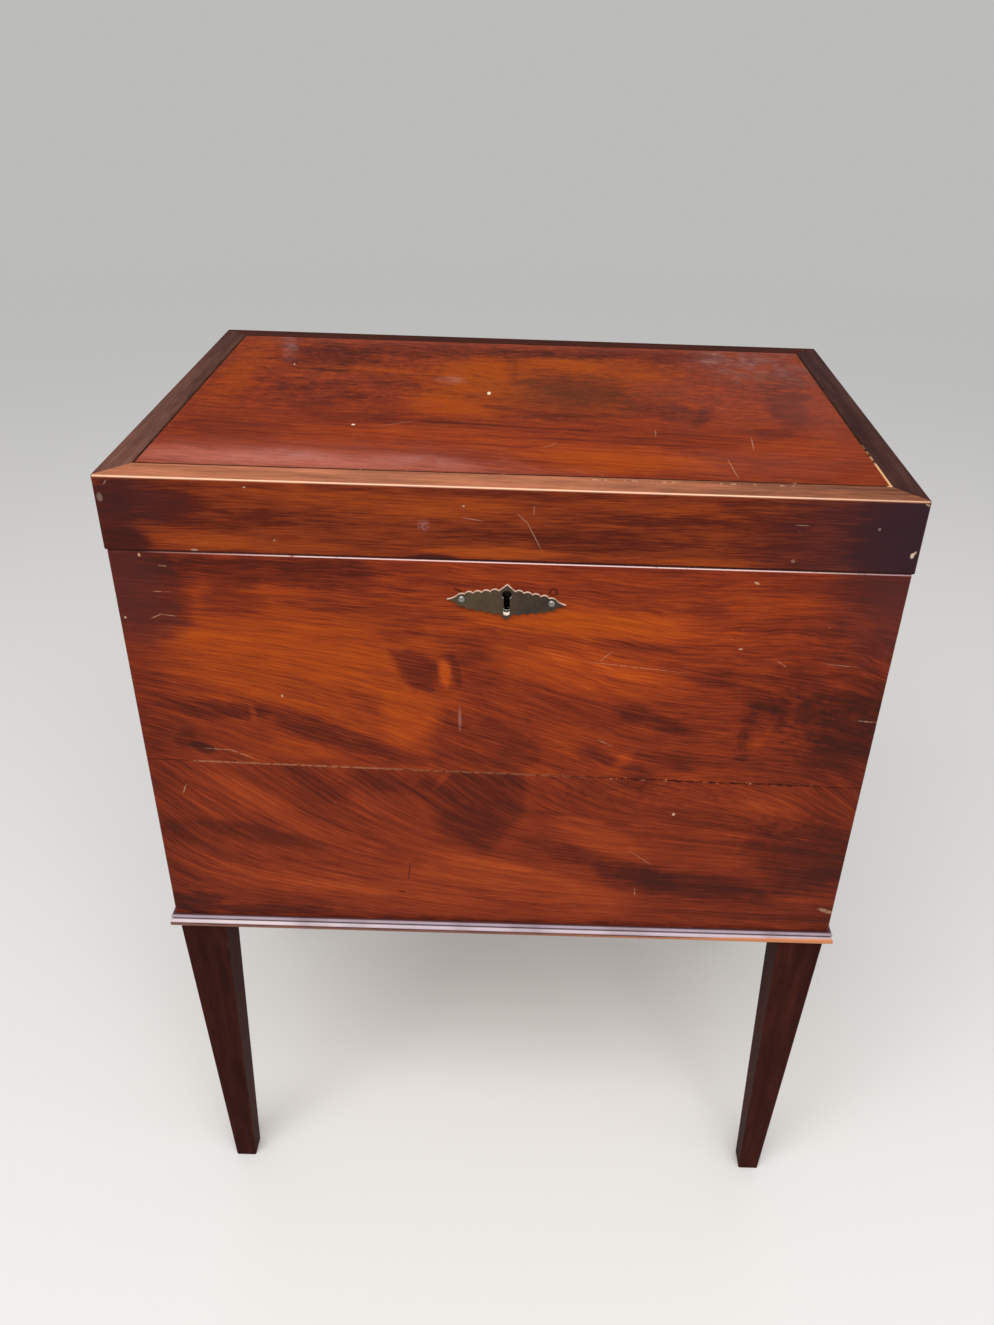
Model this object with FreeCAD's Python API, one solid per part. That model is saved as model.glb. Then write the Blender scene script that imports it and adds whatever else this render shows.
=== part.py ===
"""Mahogany cellarette: a lift-lid wine box standing on four square tapered legs.

Millimetres.  X runs to the right, Y from the front to the back and Z up.  The origin is on the
floor, under the middle of the whole object's bounding box.
"""
import FreeCAD, Part
import math
import os

Vec = FreeCAD.Vector

# ---- Lid -----------------------------------------------------------------------------------
lid_width = 502.4
lid_depth = 333.5
lid_height = 49.0
lid_rail_thickness = 15.0
lid_board_thickness = 10.0
lid_board_rebate = 7.0  # how far the lid board is let into the rails
lid_corner_radius = 2.0
lid_arris_radius = 1.3
lid_lower_arris_radius = 0.7
band_width_side = 18.2
band_width_front = 21.0
band_width_back = 17.0
stringing_width = 1.6

# ---- Carcase -------------------------------------------------------------------------------
side_inset = 1.7  # the carcase sides stand in from the lid's ends
carcase_height = 304.7
board_thickness = 13.5
back_thickness = 15.0
bottom_thickness = 12.0
veneer_thickness = 1.5
carcase_corner_radius = 1.5
carcase_arris_radius = 0.8
board_joint_height = 145.5  # the front boards' glued joint, at the left end
board_joint_fall = 7.5  # how much lower the joint is at the right end
split_width = 0.4  # the veneer has opened along that joint
tails_per_board = 3
tails_per_back_board = 6
tail_slope = 1 / 7
pin_end_width = 7.0  # a dovetail pin's width at its thin side
joint_gap = 0.4  # between the carcase's rim and the closed lid
easing_steps = 3  # flats that make up each rounded arris

# ---- Bottle divisions ----------------------------------------------------------------------
division_height = 170.0
division_thickness = 6.0
division_columns = 4
division_rows = 3
division_arris = 1.5
division_end_play = 0.3
half_lap_play = 0.1

# ---- Stand ---------------------------------------------------------------------------------
leg_length = 300.5
leg_top_width = 34.2
leg_foot_width = 17.4
leg_inset = 1.4
leg_arris = 0.8
leg_tenon_width = 18.0
stand_rail_width = 45.0
moulding_height = 11.5
moulding_projection = 4.0
torus_radius = 3.8
bead_radius = 1.75
bead_projection = 2.8
groove_projection = 1.0
bead_meeting_angle = 60.0  # how far round each bead's arc runs towards the groove, in degrees
rail_tenon_length = 12.0
rail_tenon_thickness = 4.0

# ---- Hinges --------------------------------------------------------------------------------
lid_opening = 95.0  # degrees; the bevelled back arrises meet here
pin_inset = 3.5  # hinge axis, in from the back face
hinge_inset = 100.0  # middle of a hinge, in from the end of the lid
hinge_length = 50.0
hinge_knuckles = 3
leaf_width = 11.0
leaf_thickness = 2.0
barrel_radius = 3.0
hinge_pin_radius = 1.5
hinge_pin_play = 0.05
knuckle_gap = 0.3
barrel_clearance = 0.35
hinge_screw_pitch = 18.0
hinge_screw_setback = 7.2  # from the hinge axis

# ---- Escutcheon and keyhole ----------------------------------------------------------------
lock_offset = -2.0  # the lock's middle, from the cabinet's middle
keyhole_drop = 21.8  # round of the keyhole, below the rim
keyhole_radius = 3.2
keyhole_slot_width = 4.1
keyhole_tail = 14.4  # from the round's centre to the slot's foot
keyhole_foot_bow = 0.8
escutcheon_drop = 27.0  # the plate's middle, below the rim
escutcheon_tilt = 1.4  # how far its left end is turned up, in degrees
escutcheon_width = 75.6
escutcheon_height = 25.0
escutcheon_thickness = 1.7
gable_half_width = 5.2
gable_foot_height = 7.7
scallops_per_side = 4
scallops_end = 26.6  # where the scallops stop, from the middle
scallops_end_height = 4.3
scallop_rise = 1.4
shoulder_end = 31.6
shoulder_height = 2.7
shoulder_rise = 0.9
ogee_hollow = 0.45
escutcheon_pin_place = 28.5
escutcheon_pin_rise = 0.9
escutcheon_pin_head_radius = 2.4
escutcheon_pin_head_height = 1.5
escutcheon_pin_radius = 0.9
escutcheon_pin_length = 9.0
escutcheon_pin_point = 1.5
dome_steps = 3
dome_crown_radius = 0.5
lining_wall = 0.8
lining_step = 0.6  # how far the lining's foot stands above the plate's

# ---- Lock ----------------------------------------------------------------------------------
lock_plate_width = 76.0
lock_plate_height = 40.0
lock_plate_thickness = 1.6
lock_case_width = 54.0
lock_case_depth = 9.0
lock_case_wall = 1.5
lock_cap_thickness = 1.0
selvedge_depth = 11.0
selvedge_screw_setback = 6.0
lock_screw_drop = 25.0
selvedge_thickness = 2.0
drill_pin_radius = 1.2
drill_pin_short = 0.5  # the drill pin stops this far behind the cap
bolt_throw = 6.0
bolt_thickness = 3.0
bolt_bar_length = 42.0
bolt_bar_height = 7.0
bolt_bar_drop = 13.0  # top of the bolt's bar, below the rim
bolt_setback = 5.0  # middle of the bolt, in front of the carcase's inner face
hook_height = 3.0
hook_drop = 5.5  # top of a hook, below the rim
hook_length = 8.5
hook_post_width = 2.6
hook_play = 0.6
stump_radius = 1.5
stump_spacing = 30.0
stump_play = 0.1
stump_proud = 1.0  # how far a stump stands out beyond the bolt
talon_width = 5.0
talon_depth = 2.5
link_spacing = 24.0
link_thickness = 2.4
link_width = 6.0
link_drop = 11.5
link_eye_play = 0.3
link_eye_rise = 0.7
link_slot_play = 0.8
link_plate_width = 60.0
link_plate_thickness = 1.8

# ---- Screws and nails ------------------------------------------------------------------------
turned_facets = 10  # sides of each small turned shape
screw_turn = 35.0  # degrees between one screw slot and the next
screw_play = 0.1
screw_slot_width = 0.7
screw_slot_depth = 0.5
screw_tip_length = 3.0
screw_tip_radius = 0.4
hinge_screw = {"shank": 1.3, "head": 2.5, "length": 12.0}
lock_screw = {"shank": 1.2, "head": 2.3, "length": 9.5}
nail_head_width = 5.5
nail_head_thickness = 1.2
nail_shank_width = 2.8
nail_tip_width = 1.2
nail_length = 30.0
nail_inset = 95.0  # front and back nails, in from the carcase's sides
nail_play = 0.1

# ---- Places that follow from the sizes above -------------------------------------------------
half_lid = lid_width / 2
half_body = half_lid - side_inset
front_y = moulding_projection - (lid_depth + moulding_projection) / 2
back_y = front_y + lid_depth
board_front_y = front_y + veneer_thickness
inner_front_y = board_front_y + board_thickness
inner_back_y = back_y - back_thickness
board_end_x = half_body - veneer_thickness
inner_x = board_end_x - board_thickness
base_z = leg_length + moulding_height
rim_z = base_z + carcase_height
pin_z = rim_z + joint_gap / 2
pin_y = back_y - pin_inset
lid_z = rim_z + joint_gap
top_z = lid_z + lid_height
lid_veneer_z = top_z - veneer_thickness
inner_floor_z = base_z + bottom_thickness
keyhole_z = rim_z - keyhole_drop
escutcheon_z = rim_z - escutcheon_drop
bolt_y = inner_front_y - bolt_setback
hinge_places = (hinge_inset - half_lid, half_lid - hinge_inset)
beyond = 5.0  # how far a cutting tool runs past what it cuts
same_place = 1e-6  # lengths closer than this count as equal
quarter_turns = [math.pi / 2 * number / easing_steps for number in range(easing_steps + 1)]


# ---- Tools for shaping -----------------------------------------------------------------------
def block(x, y, z):
    """A box from three pairs of limits."""
    return Part.makeBox(x[1] - x[0], y[1] - y[0], z[1] - z[0], Vec(x[0], y[0], z[0]))


def prism(points, run):
    """A flat outline, swept along a vector."""
    outline = Part.makePolygon(points + points[:1])
    return Part.Face(outline).extrude(run)


def plan_prism(corners, z):
    """An outline seen from above, between two heights."""
    return prism([Vec(px, py, z[0]) for px, py in corners], Vec(0, 0, z[1] - z[0]))


def front_prism(corners, y):
    """An outline seen from the front, between two depths."""
    return prism([Vec(px, y[0], pz) for px, pz in corners], Vec(0, y[1] - y[0], 0))


def side_prism(corners, x):
    """An outline seen from the side, between two widths."""
    return prism([Vec(x[0], py, pz) for py, pz in corners], Vec(x[1] - x[0], 0, 0))


def x_cylinder(radius, x, y, z):
    """A cylinder along X between two limits."""
    return Part.makeCylinder(radius, x[1] - x[0], Vec(x[0], y, z), Vec(1, 0, 0))


def y_cylinder(radius, x, y, z):
    """A cylinder along Y between two limits."""
    return Part.makeCylinder(radius, y[1] - y[0], Vec(x, y[0], z), Vec(0, 1, 0))


def cut_all(shape, tools):
    """The shape with every tool taken out of it."""
    return shape.cut(Part.makeCompound(tools))


def lies_at(edge, height):
    """True for an edge whose ends are all at one height."""
    return all(abs(vertex.Z - height) < same_place for vertex in edge.Vertexes)


def flat_sided(rings):
    """A solid with flat faces between rings of corners, which all have the same number."""
    outlines = [rings[0], rings[-1]]
    for low, high in zip(rings, rings[1:]):
        for number in range(len(low)):
            outlines.append([low[number - 1], low[number], high[number], high[number - 1]])
    faces = [Part.Face(Part.makePolygon(corners + corners[:1])) for corners in outlines]
    solid = Part.makeSolid(Part.makeShell(faces))
    if solid.Volume < 0:
        solid.reverse()
    return solid


def rounded_ring(x, y, corner, step_in, z):
    """Corners of a level rectangle with rounded corners, drawn in evenly from its limits."""
    radius = corner - step_in
    points = []
    middles = [(x[1] - corner, y[1] - corner), (x[0] + corner, y[1] - corner),
               (x[0] + corner, y[0] + corner), (x[1] - corner, y[0] + corner)]
    for quarter, (middle_x, middle_y) in enumerate(middles):
        for turn in quarter_turns:
            angle = quarter * math.pi / 2 + turn
            points.append(Vec(middle_x + radius * math.cos(angle), middle_y + radius * math.sin(angle), z))
    return points


def eased_block(x, y, z, corner, top, bottom=0.0):
    """A box with rounded corners and eased upper and lower arrises, rounded in flat steps."""
    levels = [(0.0, z[0])]
    if bottom:
        levels = [(bottom * (1 - math.sin(turn)), z[0] + bottom * (1 - math.cos(turn)))
                  for turn in quarter_turns]
    levels += [(top * (1 - math.cos(turn)), z[1] - top * (1 - math.sin(turn))) for turn in quarter_turns]
    return flat_sided([rounded_ring(x, y, corner, step_in, level) for step_in, level in levels])


def mitred_frame(outer, inner, z):
    """Four mitred strips between two rectangles, each given as (left, right, front, back)."""
    out_l, out_r, out_f, out_b = outer
    in_l, in_r, in_f, in_b = inner
    return {
        "front": plan_prism([(out_l, out_f), (out_r, out_f), (in_r, in_f), (in_l, in_f)], z),
        "right": plan_prism([(out_r, out_f), (out_r, out_b), (in_r, in_b), (in_r, in_f)], z),
        "back": plan_prism([(out_r, out_b), (out_l, out_b), (in_l, in_b), (in_r, in_b)], z),
        "left": plan_prism([(out_l, out_b), (out_l, out_f), (in_l, in_f), (in_l, in_b)], z),
    }


def inset(rectangle, side, front, back):
    """A smaller rectangle inside another, as (left, right, front, back)."""
    left, right, near, far = rectangle
    return (left + side, right - side, near + front, far - back)


def square_ring(x, y, width, z):
    """Corners of a level square about a point."""
    half = width / 2
    return [Vec(x + px * half, y + py * half, z) for px, py in ((1, -1), (1, 1), (-1, 1), (-1, -1))]


def turning(profile):
    """A many-sided turning about the Z axis from (radius, height) pairs."""
    turns = [2 * math.pi * (number + 0.5) / turned_facets for number in range(turned_facets)]
    return flat_sided([[Vec(radius * math.cos(turn), radius * math.sin(turn), z) for turn in turns]
                       for radius, z in profile])


def screw(kind, place, direction, number=0):
    """A countersunk wood screw with its head's face at the place; number turns its slot."""
    shank, head, length = kind["shank"], kind["head"], kind["length"]
    body = turning([(head, 0), (shank, shank - head), (shank, screw_tip_length - length),
                    (screw_tip_radius, -length)])
    half_slot = screw_slot_width / 2
    slot = block((-beyond, beyond), (-half_slot, half_slot), (-screw_slot_depth, beyond))
    slot.rotate(Vec(0, 0, 0), Vec(0, 0, 1), screw_turn * (number + 0.5))
    return set_down(body.cut(slot), place, direction)


def screw_hole(kind, place, direction):
    """The hole for a screw, a little larger all round."""
    shank, head, length = [kind[part] + screw_play for part in ("shank", "head", "length")]
    body = turning([(head, beyond), (head, 0), (shank, shank - head), (shank, -length)])
    return set_down(body, place, direction)


def set_down(body, place, direction):
    """Turn a shape made along -Z to point another way, and move it to its place."""
    moved = body.copy()
    rotation = FreeCAD.Rotation(Vec(0, 0, -1), direction)
    moved.Placement = FreeCAD.Placement(place, rotation).multiply(body.Placement)
    return moved


# ---- Stand -----------------------------------------------------------------------------------
def leg_centre(across, along):
    """Middle of a leg in plan; across is -1 left or 1 right, along is -1 front or 1 back."""
    reach = leg_inset + leg_top_width / 2
    face = front_y + reach if along < 0 else back_y - reach
    return across * (half_body - reach), face


def eased_square(centre, width, z):
    """Corners of a level square with its own corners taken off."""
    half = width / 2
    side = half - leg_arris
    corners = [(half, -side), (half, side), (side, half), (-side, half),
               (-half, side), (-half, -side), (-side, -half), (side, -half)]
    return [Vec(centre[0] + px, centre[1] + py, z) for px, py in corners]


def leg_tenon(across, along):
    """The square tenon that fills the leg's mortise through the mitre of the stand frame."""
    x, y = leg_centre(across, along)
    half = leg_tenon_width / 2
    return block((x - half, x + half), (y - half, y + half), (leg_length, base_z))


def leg(across, along):
    """A square leg that tapers on all four faces."""
    centre = leg_centre(across, along)
    foot = eased_square(centre, leg_foot_width, 0)
    top = eased_square(centre, leg_top_width, leg_length)
    return flat_sided([foot, top]).fuse(leg_tenon(across, along))


def moulding_run(place, run):
    """A stand rail with its moulded edge.  place turns (out, up) into a point, run is its length."""
    angle = math.radians(bead_meeting_angle)
    torus_out = moulding_projection - torus_radius
    bead_out = bead_projection - bead_radius
    bead_up = moulding_height - bead_radius
    torus_end = (torus_out + torus_radius * math.cos(angle), torus_radius * (1 + math.sin(angle)))
    bead_start = (bead_out + bead_radius * math.cos(angle), bead_up - bead_radius * math.sin(angle))
    groove = (groove_projection, (torus_end[1] + bead_start[1]) / 2)
    torus = Part.Arc(place(torus_out, 0), place(moulding_projection, torus_radius), place(*torus_end))
    bead = Part.Arc(place(*bead_start), place(bead_projection, bead_up), place(bead_out, moulding_height))
    rest = [place(bead_out, moulding_height), place(-stand_rail_width, moulding_height),
            place(-stand_rail_width, 0), place(torus_out, 0)]
    edges = [torus.toShape(), Part.makeLine(place(*torus_end), place(*groove)),
             Part.makeLine(place(*groove), place(*bead_start)), bead.toShape()]
    edges += Part.makePolygon(rest).Edges
    return Part.Face(Part.Wire(edges)).extrude(run)


def nail_places():
    """Where nails rise through the stand frame into the carcase's boards, by side."""
    reach = half_body - nail_inset
    front = board_front_y + board_thickness / 2
    back = back_y - back_thickness / 2
    side = inner_x + board_thickness / 2
    middle = (front_y + back_y) / 2
    return {
        "front": [(-reach, front), (reach, front)],
        "back": [(-reach, back), (reach, back)],
        "left": [(-side, middle)],
        "right": [(side, middle)],
    }


def square_nail(x, y, play=0.0):
    """A forged nail with a square head, driven upwards; play makes its hole."""
    neck_z = leg_length + nail_head_thickness + play
    tip_z = leg_length + nail_length + play
    return flat_sided([
        square_ring(x, y, nail_head_width + 2 * play, leg_length),
        square_ring(x, y, nail_head_width + 2 * play, neck_z),
        square_ring(x, y, nail_shank_width + 2 * play, neck_z),
        square_ring(x, y, nail_tip_width + 2 * play, tip_z),
    ])


def nail_holes(side):
    """Holes for the nails on one side of the stand."""
    return [square_nail(x, y, nail_play) for x, y in nail_places()[side]]


def make_stand():
    """Legs, the moulded rails that they are tenoned into, and the nails up into the carcase."""
    pieces = {}
    tenons = [leg_tenon(across, along) for across in (-1, 1) for along in (-1, 1)]
    for across, side in ((-1, "left"), (1, "right")):
        for along, end in ((-1, "front"), (1, "back")):
            pieces[f"{end}_{side}_leg"] = [leg(across, along)]

    reach = half_body + moulding_projection
    near = front_y - moulding_projection
    inner = half_body - stand_rail_width
    inner_near = front_y + stand_rail_width
    inner_far = back_y - stand_rail_width
    height = (leg_length, base_z)
    rail_middle = (leg_length + base_z) / 2
    tongue = (rail_middle - rail_tenon_thickness / 2, rail_middle + rail_tenon_thickness / 2)

    back = block((-inner, inner), (inner_far, back_y), height)
    tongue_reach = inner + rail_tenon_length
    back = back.fuse(block((-tongue_reach, tongue_reach), (inner_far, back_y), tongue)).removeSplitter()

    front = moulding_run(lambda out, up: Vec(-reach, front_y - out, leg_length + up), Vec(2 * reach, 0, 0))
    corners = [(-reach, near), (reach, near), (inner, inner_near), (-inner, inner_near)]
    front = front.common(plan_prism(corners, height))
    pieces["base_moulding_front"] = [cut_all(front, tenons + nail_holes("front"))]

    for across, side in ((-1, "left"), (1, "right")):
        corners = [(reach, near), (reach, back_y), (inner, back_y), (inner, inner_near)]
        rail = moulding_run(lambda out, up: Vec(across * (half_body + out), near, leg_length + up),
                            Vec(0, back_y - near, 0))
        rail = rail.common(plan_prism([(across * px, py) for px, py in corners], height))
        pieces[f"base_moulding_{side}"] = [cut_all(rail, tenons + [back] + nail_holes(side))]

    pieces["base_rail_back"] = [cut_all(back, tenons + nail_holes("back"))]
    pieces["stand_nails"] = [square_nail(x, y) for spots in nail_places().values() for x, y in spots]
    return pieces


# ---- Carcase ---------------------------------------------------------------------------------
def tailed_end(across, low, high, count):
    """One end of a dovetailed board, from its bottom to its top, as (x, z) points."""
    pitch = (high - low) / count
    half_end = (pitch - pin_end_width) / 2
    half_root = half_end - board_thickness * tail_slope
    points = [(inner_x, low)]
    for number in range(count):
        middle = low + pitch * (number + 0.5)
        points += [(inner_x, middle - half_root), (board_end_x, middle - half_end),
                   (board_end_x, middle + half_end), (inner_x, middle + half_root)]
    points.append((inner_x, high))
    return [(across * px, pz) for px, pz in points]


def tailed_board(left, right, count, y):
    """A board with dovetails on both ends; left and right give its (low, high) at each end."""
    outline = tailed_end(1, *right, count) + tailed_end(-1, *left, count)[::-1]
    return front_prism(outline, y)


def joint_height(x):
    """Height of the joint between the two front boards."""
    share = (x + half_body) / (2 * half_body)
    return base_z + board_joint_height - share * board_joint_fall


def stop_bevel(side):
    """The wedge taken off the back arrises; side is -1 under the hinge axis or 1 above it.

    The two faces stand the opening angle apart, so the lid comes to rest bevel to bevel.
    """
    angle = math.radians(lid_opening / 2)
    gap = joint_gap / 2
    near = pin_y - gap * math.tan(angle / 2)
    run = pin_inset + beyond
    rise = (gap + run * math.sin(angle)) / math.cos(angle)
    far = pin_y + run
    corners = [(near, pin_z), (near, pin_z + side * gap), (far, pin_z + side * rise), (far, pin_z)]
    return side_prism(corners, (-half_lid - beyond, half_lid + beyond))


def hinge_bed(side):
    """What the hinges take out of the wood; side is -1 in the carcase or 1 in the lid."""
    tools = []
    heights = leaf_heights(side)
    for x in hinge_places:
        length = (x - hinge_length / 2, x + hinge_length / 2)
        housing = (length[0] - knuckle_gap, length[1] + knuckle_gap)
        tools.append(block(length, (pin_y - leaf_width, pin_y), sorted(heights)))
        tools.append(x_cylinder(barrel_radius + barrel_clearance, housing, pin_y, pin_z))
        tools += [screw_hole(hinge_screw, place, Vec(0, 0, side)) for place in hinge_screw_places(x, side)]
    return tools


def keyhole_shape(grow, y, foot=0.0):
    """A keyhole, grown all round; foot shortens its slot from below."""
    radius = keyhole_radius + grow
    half = keyhole_slot_width / 2 + grow
    low = keyhole_z - keyhole_tail - grow + foot
    corner = low + keyhole_foot_bow
    left, right = lock_offset - half, lock_offset + half
    round_part = y_cylinder(radius, lock_offset, y, keyhole_z)
    edges = Part.makePolygon([Vec(left, y[0], corner), Vec(left, y[0], keyhole_z),
                              Vec(right, y[0], keyhole_z), Vec(right, y[0], corner)]).Edges
    foot_arc = Part.Arc(Vec(right, y[0], corner), Vec(lock_offset, y[0], low), Vec(left, y[0], corner))
    slot = Part.Face(Part.Wire(edges + [foot_arc.toShape()])).extrude(Vec(0, y[1] - y[0], 0))
    return round_part.fuse(slot).removeSplitter()


def make_carcase():
    """Dovetailed boards, bottom board and the veneers laid over the front and sides."""
    envelope = eased_block((-half_body, half_body), (front_y, back_y), (base_z, rim_z),
                           carcase_corner_radius, carcase_arris_radius)
    bevel = stop_bevel(-1)
    board_y = (board_front_y, inner_front_y)
    front_holes = [keyhole_shape(lining_wall, (front_y - beyond, inner_front_y))]
    front_holes += [escutcheon_pin_hole(across) for across in (-1, 1)]
    joint = {side: joint_height(x) for side, x in (("left", -inner_x), ("right", inner_x))}

    lower = tailed_board((base_z, joint["left"]), (base_z, joint["right"]), tails_per_board, board_y)
    upper = tailed_board((joint["left"], rim_z), (joint["right"], rim_z), tails_per_board, board_y)
    back = tailed_board((base_z, rim_z), (base_z, rim_z), tails_per_back_board, (inner_back_y, back_y))
    pieces = {
        "front_board_lower": [cut_all(lower, nail_holes("front"))],
        "front_board_upper": [cut_all(upper, lock_bed() + front_holes)],
        "back_board": [cut_all(back, hinge_bed(-1) + nail_holes("back") + [bevel])],
    }
    for across, side in ((-1, "left"), (1, "right")):
        limits = sorted((across * inner_x, across * board_end_x))
        board = block(limits, (board_front_y, back_y), (base_z, rim_z))
        pieces[f"{side}_side_board"] = [cut_all(board, [lower, upper, back, bevel] + nail_holes(side))]
        limits = sorted((across * board_end_x, across * half_body))
        sheet = block(limits, (board_front_y, back_y), (base_z, rim_z))
        pieces[f"{side}_side_veneer"] = [sheet.common(envelope).cut(bevel)]

    pieces["bottom_board"] = [
        block((-inner_x, inner_x), (inner_front_y, inner_back_y), (base_z, inner_floor_z))
    ]
    skin_y = (front_y, board_front_y)
    ends = (joint_height(-half_body), joint_height(half_body))
    half_split = split_width / 2
    lower_skin = front_prism([(-half_body, base_z), (half_body, base_z), (half_body, ends[1] - half_split),
                              (-half_body, ends[0] - half_split)], skin_y)
    upper_skin = front_prism([(-half_body, ends[0] + half_split), (half_body, ends[1] + half_split),
                              (half_body, rim_z), (-half_body, rim_z)], skin_y)
    pieces["front_veneer_lower"] = [lower_skin.common(envelope)]
    pieces["front_veneer_upper"] = [cut_all(upper_skin.common(envelope), front_holes)]
    return pieces


# ---- Bottle divisions ------------------------------------------------------------------------
def division_places(low, high, count):
    """Middles of the divisions that make equal spaces between two walls."""
    space = (high - low - (count - 1) * division_thickness) / count
    return [low + number * (space + division_thickness) - division_thickness / 2
            for number in range(1, count)]


def division_board(x, y):
    """A standing board with eased upper arrises, before its half laps are cut."""
    board = block(x, y, (inner_floor_z, inner_floor_z + division_height))
    long_way = max(x[1] - x[0], y[1] - y[0])
    crest = [edge for edge in board.Edges
             if lies_at(edge, inner_floor_z + division_height) and abs(edge.Length - long_way) < same_place]
    return board.makeChamfer(division_arris, crest)


def make_divisions():
    """An egg crate of half-lapped boards that keeps the bottles apart."""
    columns = division_places(-inner_x, inner_x, division_columns)
    rows = division_places(inner_front_y, inner_back_y, division_rows)
    half = division_thickness / 2
    slot = half + half_lap_play
    lap_z = inner_floor_z + division_height / 2
    above = (lap_z, inner_floor_z + division_height + beyond)
    reach_x = (-inner_x + division_end_play, inner_x - division_end_play)
    reach_y = (inner_front_y + division_end_play, inner_back_y - division_end_play)
    pieces = {}
    for number, y in enumerate(rows, 1):
        laps = [block((x - slot, x + slot), (y - slot, y + slot), above) for x in columns]
        pieces[f"long_division_{number}"] = [cut_all(division_board(reach_x, (y - half, y + half)), laps)]
    below = (inner_floor_z - beyond, lap_z)
    for number, x in enumerate(columns, 1):
        laps = [block((x - slot, x + slot), (y - slot, y + slot), below) for y in rows]
        pieces[f"cross_division_{number}"] = [cut_all(division_board((x - half, x + half), reach_y), laps)]
    return pieces


# ---- Escutcheon ------------------------------------------------------------------------------
def bowed_arc(start, end, rise, place):
    """An arc between two points that rises above their chord, as an edge."""
    along = Vec(end[0] - start[0], end[1] - start[1], 0)
    normal = Vec(-along.y, along.x, 0).normalize()
    middle = ((start[0] + end[0]) / 2 + normal.x * rise, (start[1] + end[1]) / 2 + normal.y * rise)
    return Part.Arc(place(*start), place(*middle), place(*end)).toShape()


def plate_place(out, rise):
    """A place on the back of the escutcheon, which hangs a little askew."""
    tilt = math.radians(escutcheon_tilt)
    x = out * math.cos(tilt) + rise * math.sin(tilt)
    z = rise * math.cos(tilt) - out * math.sin(tilt)
    return Vec(lock_offset + x, front_y, escutcheon_z + z)


def escutcheon_quarter(across, up):
    """A quarter of the lozenge's edge: half a gable, a run of scallops, a shoulder and an ogee."""
    def place(out, rise):
        return plate_place(across * out, up * rise)

    step = (scallops_end - gable_half_width) / scallops_per_side
    fall = (gable_foot_height - scallops_end_height) / scallops_per_side
    cusps = [(gable_half_width + step * number, gable_foot_height - fall * number)
             for number in range(scallops_per_side + 1)]
    edges = [Part.makeLine(place(0, escutcheon_height / 2), place(*cusps[0]))]
    edges += [bowed_arc(start, end, scallop_rise, place) for start, end in zip(cusps, cusps[1:])]
    edges.append(bowed_arc(cusps[-1], (shoulder_end, shoulder_height), shoulder_rise, place))
    tip = (escutcheon_width / 2, 0)
    edges.append(bowed_arc((shoulder_end, shoulder_height), tip, -ogee_hollow, place))
    return edges


def escutcheon_pin_centre(across):
    """Where a pin goes through the plate, as x and z."""
    place = plate_place(across * escutcheon_pin_place, escutcheon_pin_rise)
    return place.x, place.z


def escutcheon_pin_hole(across):
    """The hole for one pin."""
    x, z = escutcheon_pin_centre(across)
    end = front_y - escutcheon_thickness + escutcheon_pin_length + screw_play
    radius = escutcheon_pin_radius + screw_play
    body = turning([(radius, front_y - escutcheon_thickness - beyond), (radius, end)])
    return set_down(body, Vec(x, 0, z), Vec(0, -1, 0))


def escutcheon_pin(across):
    """A round-headed pin."""
    x, z = escutcheon_pin_centre(across)
    angles = [math.radians(90 * number / dome_steps) for number in range(dome_steps)]
    dome = [(escutcheon_pin_head_radius * math.cos(angle), escutcheon_pin_head_height * math.sin(angle))
            for angle in angles]
    dome.append((dome_crown_radius, escutcheon_pin_head_height))
    shank = [(escutcheon_pin_radius, 0),
             (escutcheon_pin_radius, escutcheon_pin_point - escutcheon_pin_length),
             (screw_tip_radius, -escutcheon_pin_length)]
    body = turning(dome[::-1] + shank)
    return set_down(body, Vec(x, front_y - escutcheon_thickness, z), Vec(0, 1, 0))


def make_escutcheon():
    """The scalloped lozenge plate, its two pins and the brass lining of the keyhole."""
    edges = [edge for across in (-1, 1) for up in (-1, 1) for edge in escutcheon_quarter(across, up)]
    outline = Part.Wire(Part.__sortEdges__(edges))
    plate = Part.Face(outline).extrude(Vec(0, -escutcheon_thickness, 0))
    through = (front_y - escutcheon_thickness - beyond, front_y + beyond)
    plate = cut_all(plate, [keyhole_shape(0, through), escutcheon_pin_hole(-1), escutcheon_pin_hole(1)])
    depth = (front_y, inner_front_y - lock_case_depth - lock_cap_thickness)
    sleeve = keyhole_shape(lining_wall, depth)
    sleeve = sleeve.cut(keyhole_shape(0, (depth[0] - beyond, depth[1] + beyond), lining_step))
    return {
        "escutcheon": [plate],
        "escutcheon_pins": [escutcheon_pin(across) for across in (-1, 1)],
        "keyhole_lining": [sleeve],
    }


# ---- Lock ------------------------------------------------------------------------------------
def lock_block(half_width, front, back, low, high):
    """A box about the lock's middle; front and back are depths from the carcase's inner face."""
    return block((lock_offset - half_width, lock_offset + half_width),
                 (inner_front_y - front, inner_front_y - back), (rim_z - low, rim_z - high))


def lock_bed():
    """What the lock takes out of the upper front board."""
    tools = [
        lock_block(lock_plate_width / 2, lock_plate_thickness, 0, lock_plate_height, 0),
        lock_block(lock_plate_width / 2, selvedge_depth, 0, selvedge_thickness, 0),
        lock_block(lock_case_width / 2, lock_case_depth + lock_cap_thickness, 0, lock_plate_height, 0),
    ]
    tools += [screw_hole(lock_screw, place, direction) for place, direction in lock_screw_places()]
    return tools


def lock_screw_places():
    """Two screws through the plate and two down through the selvedge."""
    out = (lock_plate_width + lock_case_width) / 4
    places = []
    for across in (-1, 1):
        x = lock_offset + across * out
        places.append((Vec(x, inner_front_y, rim_z - lock_screw_drop), Vec(0, -1, 0)))
        places.append((Vec(x, inner_front_y - selvedge_screw_setback, rim_z), Vec(0, 0, -1)))
    return places


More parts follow.
